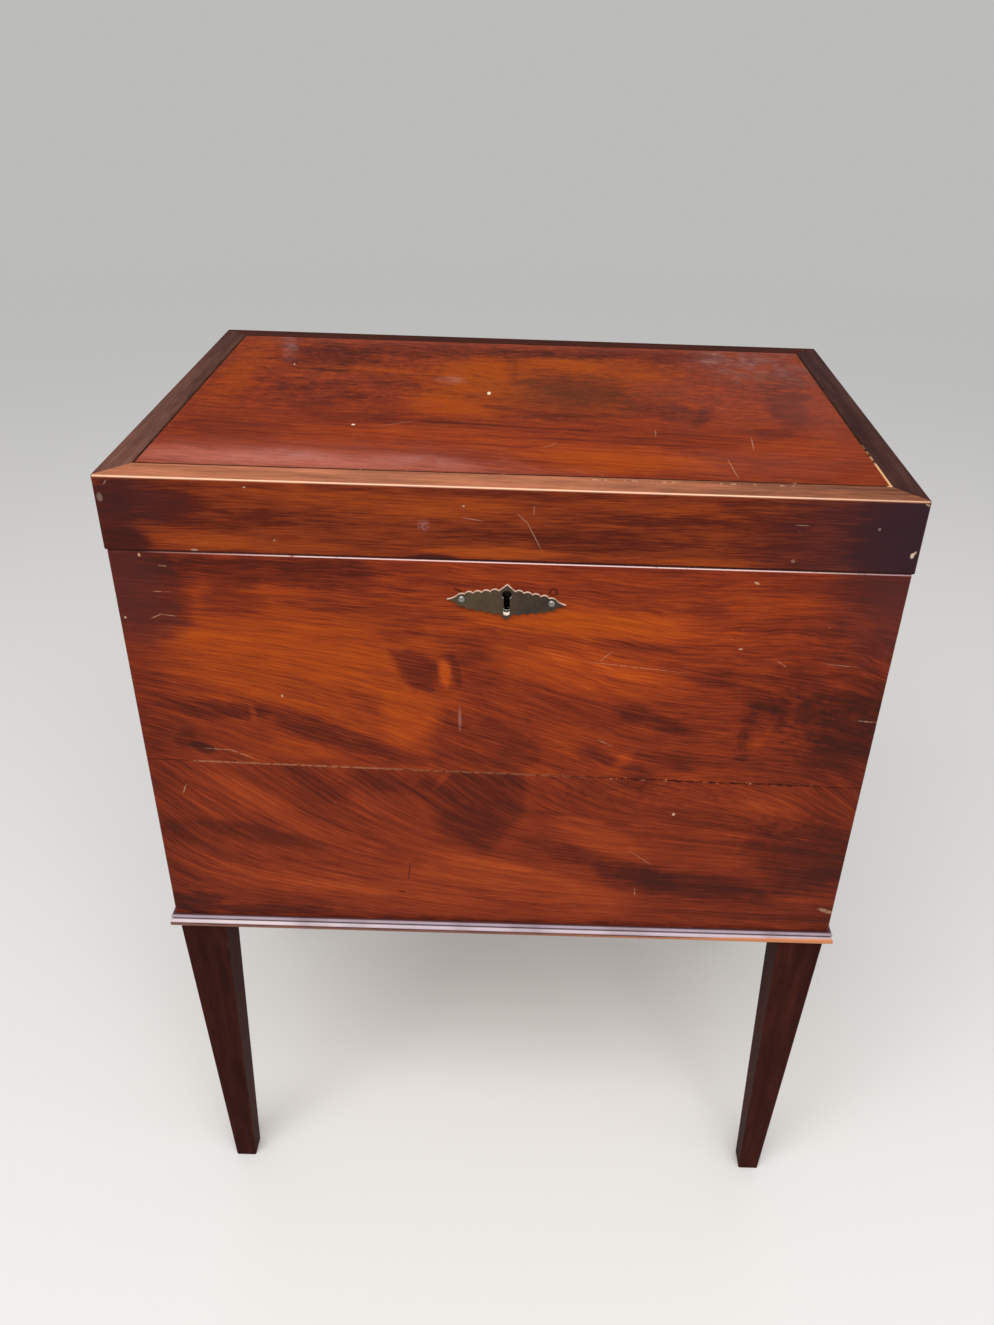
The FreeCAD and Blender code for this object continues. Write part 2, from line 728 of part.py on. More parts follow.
def link_places():
    """Middles of the two links, across the lid."""
    return [lock_offset + across * link_spacing / 2 for across in (-1, 1)]


def stump_places():
    """Middles of the two stumps that guide the bolt, across the lock."""
    return [lock_offset + across * stump_spacing / 2 for across in (-1, 1)]


def make_lock():
    """Case, cap, drill pin, screws and the sliding hook bolt."""
    inside = lock_case_width / 2 - lock_case_wall
    case = lock_block(lock_plate_width / 2, lock_plate_thickness, 0, lock_plate_height, 0)
    case = case.fuse(lock_block(lock_plate_width / 2, selvedge_depth, 0, selvedge_thickness, 0))
    case = case.fuse(lock_block(lock_case_width / 2, lock_case_depth, 0, lock_plate_height, 0))
    case = case.cut(lock_block(inside, lock_case_depth + beyond, lock_plate_thickness,
                               lock_plate_height - lock_case_wall, selvedge_thickness))
    case = case.fuse(lock_block(inside, selvedge_depth, lock_case_depth, selvedge_thickness, 0))
    slot_half = link_thickness / 2 + hook_play
    slot_reach = link_width / 2 + link_slot_play
    cuts = [block((x - slot_half, x + slot_half), (bolt_y - slot_reach, bolt_y + slot_reach),
                  (rim_z - selvedge_thickness, rim_z)) for x in link_places()]
    cuts += [screw_hole(lock_screw, place, direction) for place, direction in lock_screw_places()]
    case = cut_all(case, cuts)
    stump_z = rim_z - bolt_bar_drop - bolt_bar_height / 2
    stump_y = (bolt_y - bolt_thickness / 2 - stump_proud, inner_front_y - lock_plate_thickness / 2)
    for x in stump_places():
        case = case.fuse(y_cylinder(stump_radius, x, stump_y, stump_z))

    cap = lock_block(lock_case_width / 2, lock_case_depth + lock_cap_thickness, lock_case_depth,
                     lock_plate_height, selvedge_thickness)
    cap = cap.cut(keyhole_shape(0, (front_y, inner_front_y)))
    drill_y = (inner_front_y - lock_case_depth + drill_pin_short, inner_front_y - lock_plate_thickness)
    return {
        "lock_case": [case.removeSplitter()],
        "lock_cap": [cap],
        "drill_pin": [y_cylinder(drill_pin_radius, lock_offset, drill_y, keyhole_z)],
        "lock_screws": [
            screw(lock_screw, place, direction, number)
            for number, (place, direction) in enumerate(lock_screw_places())
        ],
        "lock_bolt": [hook_bolt()],
    }


def hook_bolt():
    """The bolt with the lock undone: its two hooks stand clear of the links."""
    left = lock_offset - bolt_bar_length / 2 - bolt_throw / 2
    y = (bolt_y - bolt_thickness / 2, bolt_y + bolt_thickness / 2)
    top = rim_z - bolt_bar_drop
    low = top - bolt_bar_height
    bolt = block((left, left + bolt_bar_length), y, (low, top))
    hook_z = (rim_z - hook_drop - hook_height, rim_z - hook_drop)
    for x in link_places():
        tip = x - link_thickness / 2 - hook_play
        heel = tip - hook_length
        bolt = bolt.fuse(block((heel, tip), y, hook_z))
        bolt = bolt.fuse(block((heel, heel + hook_post_width), y, (top, hook_z[1])))
    middle = (low + top) / 2
    half = stump_radius + stump_play
    cuts = []
    for x in stump_places():
        first, last = x - bolt_throw - stump_play, x + stump_play
        cuts += [y_cylinder(half, first, y, middle), y_cylinder(half, last, y, middle),
                 block((first, last), y, (middle - half, middle + half))]
    talon = lock_offset - bolt_throw / 2
    cuts.append(block((talon - talon_width / 2, talon + talon_width / 2), y, (low, low + talon_depth)))
    return cut_all(bolt, cuts).removeSplitter()


def link_screw_places():
    """Screws up through the link plate, outside the links."""
    out = (link_plate_width + link_spacing) / 4
    y = inner_front_y - selvedge_depth / 2
    return [Vec(lock_offset + across * out, y, lid_z) for across in (-1, 1)]


def make_link_plate():
    """The plate under the lid with two eyed links that drop into the lock."""
    half = link_plate_width / 2
    plate = block((lock_offset - half, lock_offset + half), (inner_front_y - selvedge_depth, inner_front_y),
                  (lid_z, lid_z + link_plate_thickness))
    hook_z = (rim_z - hook_drop - hook_height, rim_z - hook_drop)
    eye_half = bolt_thickness / 2 + link_eye_play
    for x in link_places():
        limits = (x - link_thickness / 2, x + link_thickness / 2)
        link = block(limits, (bolt_y - link_width / 2, bolt_y + link_width / 2), (rim_z - link_drop, lid_z))
        eye = block(limits, (bolt_y - eye_half, bolt_y + eye_half),
                    (hook_z[0] - link_eye_rise, hook_z[1] + link_eye_rise))
        plate = plate.fuse(link.cut(eye))
    plate = cut_all(plate, [screw_hole(lock_screw, place, Vec(0, 0, 1)) for place in link_screw_places()])
    return plate.removeSplitter()


# ---- Hinges ----------------------------------------------------------------------------------
def leaf_heights(side):
    """A leaf's outer face, level with the wood, and its let-in face."""
    face = lid_z if side > 0 else rim_z
    return face, face + side * leaf_thickness


def hinge_screw_places(x, side):
    """Three screws along one leaf."""
    face = leaf_heights(side)[0]
    return [Vec(x + step * hinge_screw_pitch, pin_y - hinge_screw_setback, face) for step in (-1, 0, 1)]


def hinge_leaf(x, side):
    """A leaf with its knuckles; side is -1 on the carcase or 1 on the lid."""
    left = x - hinge_length / 2
    pitch = hinge_length / hinge_knuckles
    plate = block((left, left + hinge_length), (pin_y - leaf_width, pin_y), sorted(leaf_heights(side)))
    half_gap = knuckle_gap / 2
    own, gaps = [], []
    for number in range(hinge_knuckles):
        start, end = left + number * pitch, left + (number + 1) * pitch
        if (number % 2 == 0) == (side < 0):
            own.append(x_cylinder(barrel_radius, (start + half_gap, end - half_gap), pin_y, pin_z))
        else:
            clear = (start - half_gap, end + half_gap)
            gaps.append(x_cylinder(barrel_radius + barrel_clearance, clear, pin_y, pin_z))
    leaf = cut_all(plate, gaps)
    for knuckle in own:
        leaf = leaf.fuse(knuckle)
    through = (left - beyond, left + hinge_length + beyond)
    bore = x_cylinder(hinge_pin_radius + hinge_pin_play, through, pin_y, pin_z)
    holes = [screw_hole(hinge_screw, place, Vec(0, 0, side)) for place in hinge_screw_places(x, side)]
    return cut_all(leaf, [bore] + holes).removeSplitter()


def make_hinges(side):
    """The two hinges' leaves and screws on one side of the joint."""
    part = "upper" if side > 0 else "lower"
    pieces = {}
    for x, hand in zip(hinge_places, ("left", "right")):
        pieces[f"{hand}_hinge_{part}_leaf"] = [hinge_leaf(x, side)]
    pieces[f"hinge_{part}_screws"] = [
        screw(hinge_screw, place, Vec(0, 0, side), number)
        for x in hinge_places
        for number, place in enumerate(hinge_screw_places(x, side))
    ]
    return pieces


def hinge_pins():
    """One pin in each hinge's barrel."""
    half = hinge_length / 2 - knuckle_gap / 2
    return [x_cylinder(hinge_pin_radius, (x - half, x + half), pin_y, pin_z) for x in hinge_places]


# ---- Lid -------------------------------------------------------------------------------------
def make_lid():
    """Mitred rails, the board let into them, and the crossbanded veneer on top."""
    envelope = eased_block((-half_lid, half_lid), (front_y, back_y), (lid_z, top_z),
                           lid_corner_radius, lid_arris_radius, lid_lower_arris_radius)
    outline = (-half_lid, half_lid, front_y, back_y)
    within = inset(outline, lid_rail_thickness, lid_rail_thickness, lid_rail_thickness)
    left, right, near, far = inset(outline, *[lid_rail_thickness - lid_board_rebate] * 3)
    board = block((left, right), (near, far), (lid_veneer_z - lid_board_thickness, lid_veneer_z))
    pieces = {"lid_board": [board]}
    link_bed = block((lock_offset - link_plate_width / 2, lock_offset + link_plate_width / 2),
                     (inner_front_y - selvedge_depth, inner_front_y), (lid_z, lid_z + link_plate_thickness))
    tools = [board, stop_bevel(1), link_bed] + hinge_bed(1)
    tools += [screw_hole(lock_screw, place, Vec(0, 0, 1)) for place in link_screw_places()]
    for side, rail in mitred_frame(outline, within, (lid_z, lid_veneer_z)).items():
        pieces[f"lid_{side}_rail"] = [cut_all(rail.common(envelope), tools)]

    band_z = (lid_veneer_z, top_z)
    band_inside = inset(outline, band_width_side, band_width_front, band_width_back)
    field = inset(band_inside, *[stringing_width] * 3)
    for side, band in mitred_frame(outline, band_inside, band_z).items():
        pieces[f"{side}_crossband"] = [band.common(envelope)]
    pieces["stringing"] = list(mitred_frame(band_inside, field, band_z).values())
    pieces["lid_veneer"] = [block(field[:2], field[2:], band_z)]
    pieces["link_plate"] = [make_link_plate()]
    pieces["link_plate_screws"] = [
        screw(lock_screw, place, Vec(0, 0, 1), number) for number, place in enumerate(link_screw_places())
    ]
    return pieces


# ---- The whole cellarette --------------------------------------------------------------------
def make_cellarette():
    """Every piece by its name, each a list of closed solids."""
    pieces = {}
    for group in (make_stand(), make_carcase(), make_divisions(), make_escutcheon(), make_lock(),
                  make_hinges(-1), make_hinges(1), make_lid()):
        pieces.update(group)
    pieces["hinge_pins"] = hinge_pins()
    return pieces


os.makedirs("parts", exist_ok=True)
for name, shapes in make_cellarette().items():
    solids = [solid for shape in shapes for solid in shape.Solids]
    Part.makeCompound(solids).exportStep(os.path.join("parts", f"{name}.step"))
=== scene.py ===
import math
import bmesh
import bpy
from mathutils import Matrix, Vector


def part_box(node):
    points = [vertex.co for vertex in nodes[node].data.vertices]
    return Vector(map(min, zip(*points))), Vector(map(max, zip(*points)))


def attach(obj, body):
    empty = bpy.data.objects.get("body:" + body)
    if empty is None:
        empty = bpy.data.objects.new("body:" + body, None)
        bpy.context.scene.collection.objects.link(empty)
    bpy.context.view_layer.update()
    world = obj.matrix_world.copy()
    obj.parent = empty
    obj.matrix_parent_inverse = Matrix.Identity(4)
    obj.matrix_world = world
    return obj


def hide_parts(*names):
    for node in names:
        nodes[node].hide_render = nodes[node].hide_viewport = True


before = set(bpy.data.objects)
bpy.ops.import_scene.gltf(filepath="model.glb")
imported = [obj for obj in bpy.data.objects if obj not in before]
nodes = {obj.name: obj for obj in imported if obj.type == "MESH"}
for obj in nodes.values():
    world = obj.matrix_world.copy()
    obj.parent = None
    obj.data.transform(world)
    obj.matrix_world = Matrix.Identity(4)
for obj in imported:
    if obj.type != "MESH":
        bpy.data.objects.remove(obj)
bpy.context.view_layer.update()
MM = 0.001

# Places that the finishes follow, in millimetres
FRONT_END, FRONT_FOOT, RIM = 249.5, 312.0, 616.7
SPLIT_LEFT, SPLIT_FALL = 457.5, 7.5  # the split's height at the left end, and its fall to the right end
LID_END, LID_FRONT, LID_BACK = 251.2, -164.75, 168.75
LID_FOOT, LID_TOP = 617.1, 666.1
LINE_MIDDLE = -144.55  # of the inlaid line's front strip
BEAD_CRESTS, LIGHTER_BELOW = (310.7, 306.7), 304.8  # on the moulding: the heights of the painted bead highlights, and of the top of the lighter band below


# ---- Camera, light and floor
CAMERA_PLACE = Vector((0.01016, -0.77111, 0.91473))
CAMERA_PITCH = math.radians(31.4223)  # down from level
CAMERA_YAW = math.radians(0.5137)
CAMERA_ROLL = math.radians(2.028)
LENS = 29.543
LENS_SHIFT = (-0.02666, 0.0008)
SKY = 0.55  # light from all round
BACKDROP = (0.50, 0.50, 0.49, 1.0)  # what shows behind, where a strength of 1 is white
FLOOR_COLOUR = (0.80, 0.79, 0.77, 1.0)
SWEEP = (900.0, 4200.0)  # how far out the floor turns into the backdrop, in millimetres


def set_camera():
    """The camera, from its heading, pitch and roll."""
    level = math.cos(CAMERA_PITCH)
    ahead = Vector((math.sin(CAMERA_YAW) * level, math.cos(CAMERA_YAW) * level, -math.sin(CAMERA_PITCH)))
    across = Vector((math.cos(CAMERA_YAW), -math.sin(CAMERA_YAW), 0.0))
    above = across.cross(ahead)
    right = across * math.cos(CAMERA_ROLL) + above * math.sin(CAMERA_ROLL)
    up = above * math.cos(CAMERA_ROLL) - across * math.sin(CAMERA_ROLL)
    data = bpy.data.cameras.new("camera")
    data.sensor_width = 36.0
    data.lens = LENS
    data.shift_x, data.shift_y = LENS_SHIFT
    camera = bpy.data.objects.new("camera", data)
    turn = Matrix((right, up, -ahead)).transposed()
    camera.matrix_world = Matrix.Translation(CAMERA_PLACE) @ turn.to_4x4()
    bpy.context.scene.collection.objects.link(camera)
    bpy.context.scene.camera = camera


def softbox(name, place, target, size, power):
    """A rectangular lamp that faces a point."""
    data = bpy.data.lights.new(name, "AREA")
    data.shape = "RECTANGLE"
    data.size, data.size_y = size
    data.energy = power
    lamp = bpy.data.objects.new(name, data)
    aim = (Vector(target) - Vector(place)).to_track_quat("-Z", "Y")
    lamp.matrix_world = Matrix.Translation(Vector(place)) @ aim.to_matrix().to_4x4()
    bpy.context.scene.collection.objects.link(lamp)


def seen_directly(finish):
    """1 for what the camera sees, straight, mirrored or through glass, and 0 for light on the object."""
    path = finish.node("ShaderNodeLightPath").outputs
    seen = [Field(finish, path[name]) for name in ("Is Camera Ray", "Is Glossy Ray", "Is Transmission Ray")]
    return total(seen).least(1.0)


def set_studio():
    """An even pale surround, a wide softbox above the front, and a pale floor that runs into a backdrop."""
    world = bpy.data.worlds.new("studio")
    bpy.context.scene.world = world
    air = Finish("air", world)
    shown = seen_directly(air)
    light = air.node("ShaderNodeBackground", None, {"Color": (1.0, 1.0, 1.0, 1.0), "Strength": SKY})
    view = air.node("ShaderNodeBackground", None, {"Color": BACKDROP, "Strength": 1.0})
    mix = air.node("ShaderNodeMixShader", None, {0: shown, 1: light.outputs[0], 2: view.outputs[0]})
    air.node("ShaderNodeOutputWorld", None, {"Surface": mix.outputs[0]})
    softbox("key", (-0.2, -1.25, 2.1), target=(0.0, 0.0, 0.45), size=(2.4, 1.1), power=42.0)
    softbox("fill", (1.9, -1.2, 1.2), target=(0.0, 0.0, 0.4), size=(1.2, 1.2), power=6.0)
    mesh = bpy.data.meshes.new("floor")
    form = bmesh.new()
    bmesh.ops.create_grid(form, x_segments=1, y_segments=1, size=60.0)
    form.to_mesh(mesh)
    form.free()
    floor = bpy.data.objects.new("floor", mesh)
    bpy.context.scene.collection.objects.link(floor)
    paper = Finish("floor_paper")
    away = (paper.x * paper.x + paper.y * paper.y).root().ease(*SWEEP) * seen_directly(paper)
    matt = paper.node("ShaderNodeBsdfDiffuse", None, {"Color": FLOOR_COLOUR})
    sweep = paper.node("ShaderNodeEmission", None, {"Color": BACKDROP, "Strength": 1.0})
    blend = paper.node("ShaderNodeMixShader", None, {0: away, 1: matt.outputs[0], 2: sweep.outputs[0]})
    paper.node("ShaderNodeOutputMaterial", None, {"Surface": blend.outputs[0]})
    mesh.materials.append(paper.material)


# ---- Tools for finishes
def srgb(red, green, blue):
    """A colour as seen on a screen, 0 to 255, as the linear values that shaders take."""
    def linear(level):
        share = level / 255
        return share / 12.92 if share <= 0.04045 else ((share + 0.055) / 1.055) ** 2.4
    return (linear(red), linear(green), linear(blue), 1.0)


class Field:
    """A value that changes over a surface, written as ordinary arithmetic."""

    def __init__(self, finish, socket):
        self.finish = finish
        self.socket = socket

    def _with(self, operation, *others):
        return self.finish.maths(operation, self, *others)

    def __add__(self, other):
        return self._with("ADD", other)

    __radd__ = __add__

    def __mul__(self, other):
        return self._with("MULTIPLY", other)

    __rmul__ = __mul__

    def __sub__(self, other):
        return self._with("SUBTRACT", other)

    def __rsub__(self, other):
        return self.finish.maths("SUBTRACT", other, self)

    def __truediv__(self, other):
        return self._with("DIVIDE", other)

    def __abs__(self):
        return self._with("ABSOLUTE")

    def least(self, other):
        return self._with("MINIMUM", other)

    def most(self, other):
        return self._with("MAXIMUM", other)

    def root(self):
        return self._with("SQRT")

    def ease(self, low, high):
        """0 at low and 1 at high, with a smooth change between; high may be the smaller."""
        flip = high < low
        ends = (1.0, 0.0) if flip else (0.0, 1.0)
        node = self.finish.node(
            "ShaderNodeMapRange", {"interpolation_type": "SMOOTHSTEP", "clamp": False},
            {0: self, 1: min(low, high), 2: max(low, high), 3: ends[0], 4: ends[1]})
        return Field(self.finish, node.outputs[0])


class Finish:
    """A material, or the air round the piece, with its places in millimetres."""

    def __init__(self, name, world=None):
        self.material = world or bpy.data.materials.new(name)
        self.material.use_nodes = True
        self.tree = self.material.node_tree
        self.tree.nodes.clear()
        place = self.node("ShaderNodeTexCoord").outputs["Object"]
        axes = self.node("ShaderNodeSeparateXYZ", None, {0: place})
        self.axes = [Field(self, socket) * 1000.0 for socket in axes.outputs]
        self.x, self.y, self.z = self.axes
        self.colour = None

    def node(self, kind, settings=None, values=None):
        """A shader node: its settings first, then the values or links of its sockets."""
        made = self.tree.nodes.new(kind)
        for name, setting in (settings or {}).items():
            if name == "stops":
                ramp = made.color_ramp
                while len(ramp.elements) < len(setting):
                    ramp.elements.new(0.5)
                for element, (position, colour) in zip(ramp.elements, setting):
                    element.position = position
                    element.color = colour
            else:
                setattr(made, name, setting)
        for socket, value in (values or {}).items():
            if isinstance(value, Field):
                value = value.socket
            if isinstance(value, bpy.types.NodeSocket):
                self.tree.links.new(value, made.inputs[socket])
            else:
                made.inputs[socket].default_value = value
        return made

    def maths(self, operation, *values):
        node = self.node("ShaderNodeMath", {"operation": operation}, dict(enumerate(values)))
        return Field(self, node.outputs[0])

    def vector(self, x, y, z):
        return self.node("ShaderNodeCombineXYZ", None, {0: x, 1: y, 2: z}).outputs[0]

    def spot(self, u, v):
        """A place on a flat face."""
        return Field(self, self.vector(u, v, 0.0))

    def along(self, run):
        """The three coordinates with the one along the grain first; run is x, y or z."""
        rest = list(self.axes)
        return rest.pop("xyz".index(run)), *rest

    def noise(self, x, y, z, detail=3.0, roughness=0.6):
        """Cloudy noise, 0 to 1 about a half, one cell per unit of its coordinates."""
        values = {"Vector": self.vector(x, y, z), "Scale": 1.0, "Detail": detail, "Roughness": roughness}
        return Field(self, self.node("ShaderNodeTexNoise", None, values).outputs[0])

    def patches(self, size, detail=4.0, roughness=0.6):
        """Cloudy noise of one size all ways."""
        return self.noise(self.x / size, self.y / size, self.z / size, detail, roughness)

    def flecks(self, apart, share, size):
        """Small dots in a share of the cells, which lie this far apart; size is against a cell."""
        place = self.vector(self.x / apart, self.y / apart, self.z / apart)
        cells = self.node("ShaderNodeTexVoronoi", None, {"Vector": place, "Scale": 1.0})
        chosen = self.node("ShaderNodeSeparateColor", None, {0: cells.outputs["Color"]})
        near = Field(self, cells.outputs["Distance"]).ease(size, size * 0.4)
        return near * Field(self, chosen.outputs[0]).ease(1.0 - share, 1.0 - share + 0.01)

    def ground(self, tone, *stops):
        """The first colour, picked along a scale by a tone."""
        self.colour = self.node("ShaderNodeValToRGB", {"stops": stops}, {0: tone}).outputs[0]

    def lay(self, share, under, over):
        """One colour laid over another by a share."""
        return self.node("ShaderNodeMix", {"data_type": "RGBA"}, {0: share, 6: under, 7: over}).outputs[2]

    def paint(self, share, over):
        """A colour laid over what is there by a share."""
        self.colour = self.lay(share, self.colour, over)

    def rounded_normal(self, radius):
        """The surface's direction with its edges rounded over."""
        return self.node("ShaderNodeBevel", {"samples": 4}, {"Radius": radius * MM}).outputs[0]

    def edge_wear(self, radius):
        """1 along outer edges, from how far a rounded edge turns from the flat face."""
        facing = self.node("ShaderNodeNewGeometry").outputs["Normal"]
        spread = self.node("ShaderNodeVectorMath", {"operation": "DOT_PRODUCT"},
                           {0: facing, 1: self.rounded_normal(radius)})
        return Field(self, spread.outputs["Value"]).ease(0.995, 0.90)

    def surface(self, roughness, height, depth, radius=0.6, metallic=0.0, **constants):
        """The finished surface, with a height worked in, in millimetres of depth, over rounded edges."""
        bump = self.node("ShaderNodeBump", None,
                         {"Strength": 1.0, "Distance": depth * MM, "Height": height,
                          "Normal": self.rounded_normal(radius)})
        values = {"Base Color": self.colour, "Roughness": roughness, "Metallic": metallic,
                  "Normal": bump.outputs[0], **constants}
        shader = self.node("ShaderNodeBsdfPrincipled", None, values)
        self.node("ShaderNodeOutputMaterial", None, {"Surface": shader.outputs[0]})
        return self.material


# ---- Shapes on a flat face
def ease(value, low, high):
    """Field.ease, for a number as well."""
    if isinstance(value, Field):
        return value.ease(low, high)
    share = min(max((value - low) / (high - low), 0.0), 1.0)
    return share * share * (3.0 - 2.0 * share)


def total(fields):
    """Fields added together, each as soon as it is made."""
    result = None
    for field in fields:
        result = field if result is None else result + field
    return result


def oval(spot, place, size, ragged=0.0, turn=0.0, edge=0.35):
    """A soft oval, turned by some degrees, whose outline wanders with a ragged field."""
    finish = spot.finish
    level = spot
    if turn:
        level = finish.node(
            "ShaderNodeVectorRotate", {"rotation_type": "Z_AXIS"},
            {"Vector": spot, "Center": (*place, 0.0), "Angle": math.radians(-turn)}).outputs[0]
    moved = finish.node("ShaderNodeVectorMath", {"operation": "MULTIPLY_ADD"},
                        {0: level, 1: (1.0 / size[0], 1.0 / size[1], 0.0),
                         2: (-place[0] / size[0], -place[1] / size[1], 0.0)})
    far = finish.node("ShaderNodeVectorMath", {"operation": "LENGTH"}, {0: moved.outputs[0]})
    return (Field(finish, far.outputs["Value"]) + ragged).ease(1.0 + edge, 1.0 - edge)


def ovals(spot, ragged, marks, edge=0.4):
    """Soft ovals added together: each has a weight, a place, a half width and height and maybe a turn."""
    return total(oval(spot, (u, v), (width, height), ragged, *turn, edge=edge) * weight
                 for weight, u, v, width, height, *turn in marks)


def streaks(spot, flow, ragged, marks):
    """The same for streaks that follow the grain; spot's second part is the flow there."""
    marks = [(weight, u, flow(u, v), *form) for weight, u, v, *form in marks]
    return ovals(spot, ragged, marks, 0.42)


def scratches(spot, lines):
    """Thin marks from point to point, finer at their ends: the two points and a width."""
    marks = []
    for u0, v0, u1, v1, width in lines:
        turn = math.degrees(math.atan2(v1 - v0, u1 - u0))
        length = math.hypot(u1 - u0, v1 - v0)
        marks.append((1.0, (u0 + u1) / 2, (v0 + v1) / 2, length / 2, width / 2, turn))
    return ovals(spot, 0.0, marks, 0.35).least(1.0)


def facet(u, v, corners, soft, ragged=0.0):
    """A straight-sided patch; its corners run against the clock and ragged is in millimetres."""
    inside = None
    for (u0, v0), (u1, v1) in zip(corners, corners[1:] + corners[:1]):
        length = math.hypot(u1 - u0, v1 - v0)
        away = (v - v0) * ((u1 - u0) / length) - (u - u0) * ((v1 - v0) / length)
        inside = away if inside is None else inside.least(away)
    return (inside + ragged).ease(-soft, soft)


# ---- Wood
EMBER = srgb(44, 14, 10)
SHADE = srgb(80, 28, 17)
RUSSET = srgb(110, 40, 20)
COPPER = srgb(138, 53, 20)
HONEY = srgb(165, 69, 19)
AMBER = srgb(168, 76, 8)
BONE = srgb(216, 176, 140)
# the pinkish colour of a painted sheen
PINK_SHEEN = srgb(172, 104, 92)
FLAME = srgb(198, 98, 44)
MAHOGANY = ((0.00, srgb(58, 24, 18)), (0.19, SHADE), (0.38, RUSSET), (0.58, COPPER),
            (0.80, HONEY), (1.0, FLAME))

POLISH = {"IOR": 1.45, "Specular IOR Level": 0.06}
TOP_POLISH = {"IOR": 1.45, "Specular IOR Level": 0.01}
LEG_POLISH = {"IOR": 1.45, "Specular IOR Level": 0.012}
MOULDING_POLISH = {"IOR": 1.45, "Specular IOR Level": 0.3}
UNPOLISHED = {"Specular IOR Level": 0.25}


def scale(tones, low=0.0, high=1.0):
    """The stops of a colour scale, dark to light and evenly spaced from low to high."""
    return [(low + (high - low) * number / (len(tones) - 1), tone) for number, tone in enumerate(tones)]


def grain(finish, along, over, depth, length=45.0, width=2.0):
    """Hairlines, fibres and streaks that run one way, up to about 1 either side of 0, and dark pores."""
    hair = finish.noise(along / (length * 0.5), over / (width * 0.5), depth / (width * 0.5), 2.0, 0.6)
    fibre = finish.noise(along / length, over / (width * 1.4), depth / (width * 1.4))
    streak = finish.noise(along / (length * 2.6), over / (width * 4.5), depth / (width * 4.5), 3.0, 0.55)
    pores = finish.noise(along / (length * 0.2), over / (width * 0.35), depth / (width * 0.35), 2.0, 0.5)
    return (hair - 0.5) * 2.0, (fibre - 0.5) * 2.0, (streak - 0.5) * 2.0, pores.ease(0.60, 0.74)


def upper_flow(x, z):
    """The grain line through a point of the upper front board: level at the rim, dipping lower down."""
    reach = x - 40.0 - ease(x, 60.0, 250.0) * 100.0
    return z + reach * (ease(z, 612.0, 500.0) * 0.32 + 0.04)


def lower_flow(x, z):
    """The grain line through a point of the lower front board: steep at the split, flatter below."""
    reach = x + 200.0 - ease(x, 0.0, 250.0) * 110.0
    return z + reach * (ease(z, 300.0, 430.0) * 0.72 + 0.12)


# Each mark has a weight, its place, half its width and height, and maybe a turn in degrees
UPPER_STREAKS = [
    (-0.25, -122, 483, 60, 9), (-0.20, -196, 501, 33, 6, 14), (0.11, -108, 497, 60, 3),
    (-0.12, 66, 563, 46, 2.2), (-0.08, 28, 557, 40, 1.4), (-0.17, 143, 531, 26, 3.2, -4),
    (-0.17, 166, 518, 14, 3, -6), (-0.09, 180, 577, 58, 5), (0.09, 60, 543, 60, 4),
    (-0.08, -60, 604, 90, 3), (-0.08, -140, 575, 60, 1.8), (-0.08, -150, 540, 80, 1.6),
    (-0.08, -120, 522, 70, 1.8), (0.09, -170, 556, 60, 3), (0.07, -130, 531, 60, 2.4),
    (-0.09, 110, 545, 60, 1.6), (-0.08, 40, 520, 60, 2.2), (0.11, 36, 478, 44, 5, -12),
    (-0.09, 30, 462, 30, 3, -12), (0.09, 105, 462, 40, 3, -8), (-0.08, 120, 470, 40, 2),
]
UPPER_BLOTS = [
    (0.12, -140, 546, 96, 32), (0.05, -110, 538, 52, 16), (0.07, -198, 553, 34, 9, -6),
    (0.23, -66, 498, 18, 26, -18), (0.23, 62, 574, 76, 11, -2), (0.22, 54, 540, 62, 17, -8),
    (0.14, 166, 594, 54, 7), (-0.23, -230, 590, 27, 30), (-0.14, -178, 583, 20, 11),
    (-0.11, -72, 567, 17, 8), (-0.22, -150, 605, 66, 10), (0.10, 24, 606, 66, 7),
    (-0.08, -95, 587, 30, 10), (-0.10, -20, 536, 16, 28), (-0.15, -16, 480, 34, 24),
    (-0.09, 6, 470, 14, 12), (-0.08, -215, 480, 38, 18), (-0.36, -209, 468, 9, 5, -22),
    (-0.15, -220, 474, 8, 9), (0.22, -171.5, 498, 2.6, 6, 6), (0.09, -134, 468, 28, 7, -10),
    (0.31, -41.5, 534, 3.4, 11, 5), (-0.18, -34.2, 536, 2.8, 11, 10), (-0.12, -47.6, 535, 1.5, 10, 6),
    (-0.17, -40, 547, 5, 2.6), (-0.09, -28, 550, 14, 10), (-0.12, 126, 587, 13, 7),
    (-0.20, 94, 504, 31, 7, -24), (-0.09, 56, 506, 34, 10, -12), (-0.23, 61, 471, 16, 7, -22),
    (-0.18, 91, 457, 14, 5, -20), (-0.15, 104, 467, 22, 9, -14), (0.13, 81, 469, 4.5, 10, -32),
    (0.18, 173, 495, 7, 14, -16), (-0.17, 172, 505, 15, 17, -10), (-0.16, 160, 490, 3.4, 9),
    (-0.17, 162, 473, 4, 3), (-0.15, 232, 476, 24, 12), (-0.20, 240, 602, 26, 16),
    (-0.09, 196, 500, 88, 58), (0.11, 208, 502, 5, 6, 20), (0.09, 233, 509, 4, 5),
]
LOWER_STREAKS = [
    (0.13, -84, 412, 56, 5), (0.16, -22, 373, 62, 8), (-0.13, -115, 400, 44, 2.4),
    (-0.11, -130, 385, 52, 2.2), (-0.09, -60, 350, 70, 2.4), (-0.09, -40, 392, 44, 2.2),
    (0.09, -170, 415, 50, 4), (-0.09, -190, 365, 56, 2.4), (0.07, -120, 345, 70, 4),
    (-0.09, 20, 345, 60, 2.0), (-0.07, -10, 335, 80, 1.8), (0.09, -200, 440, 44, 4),
]
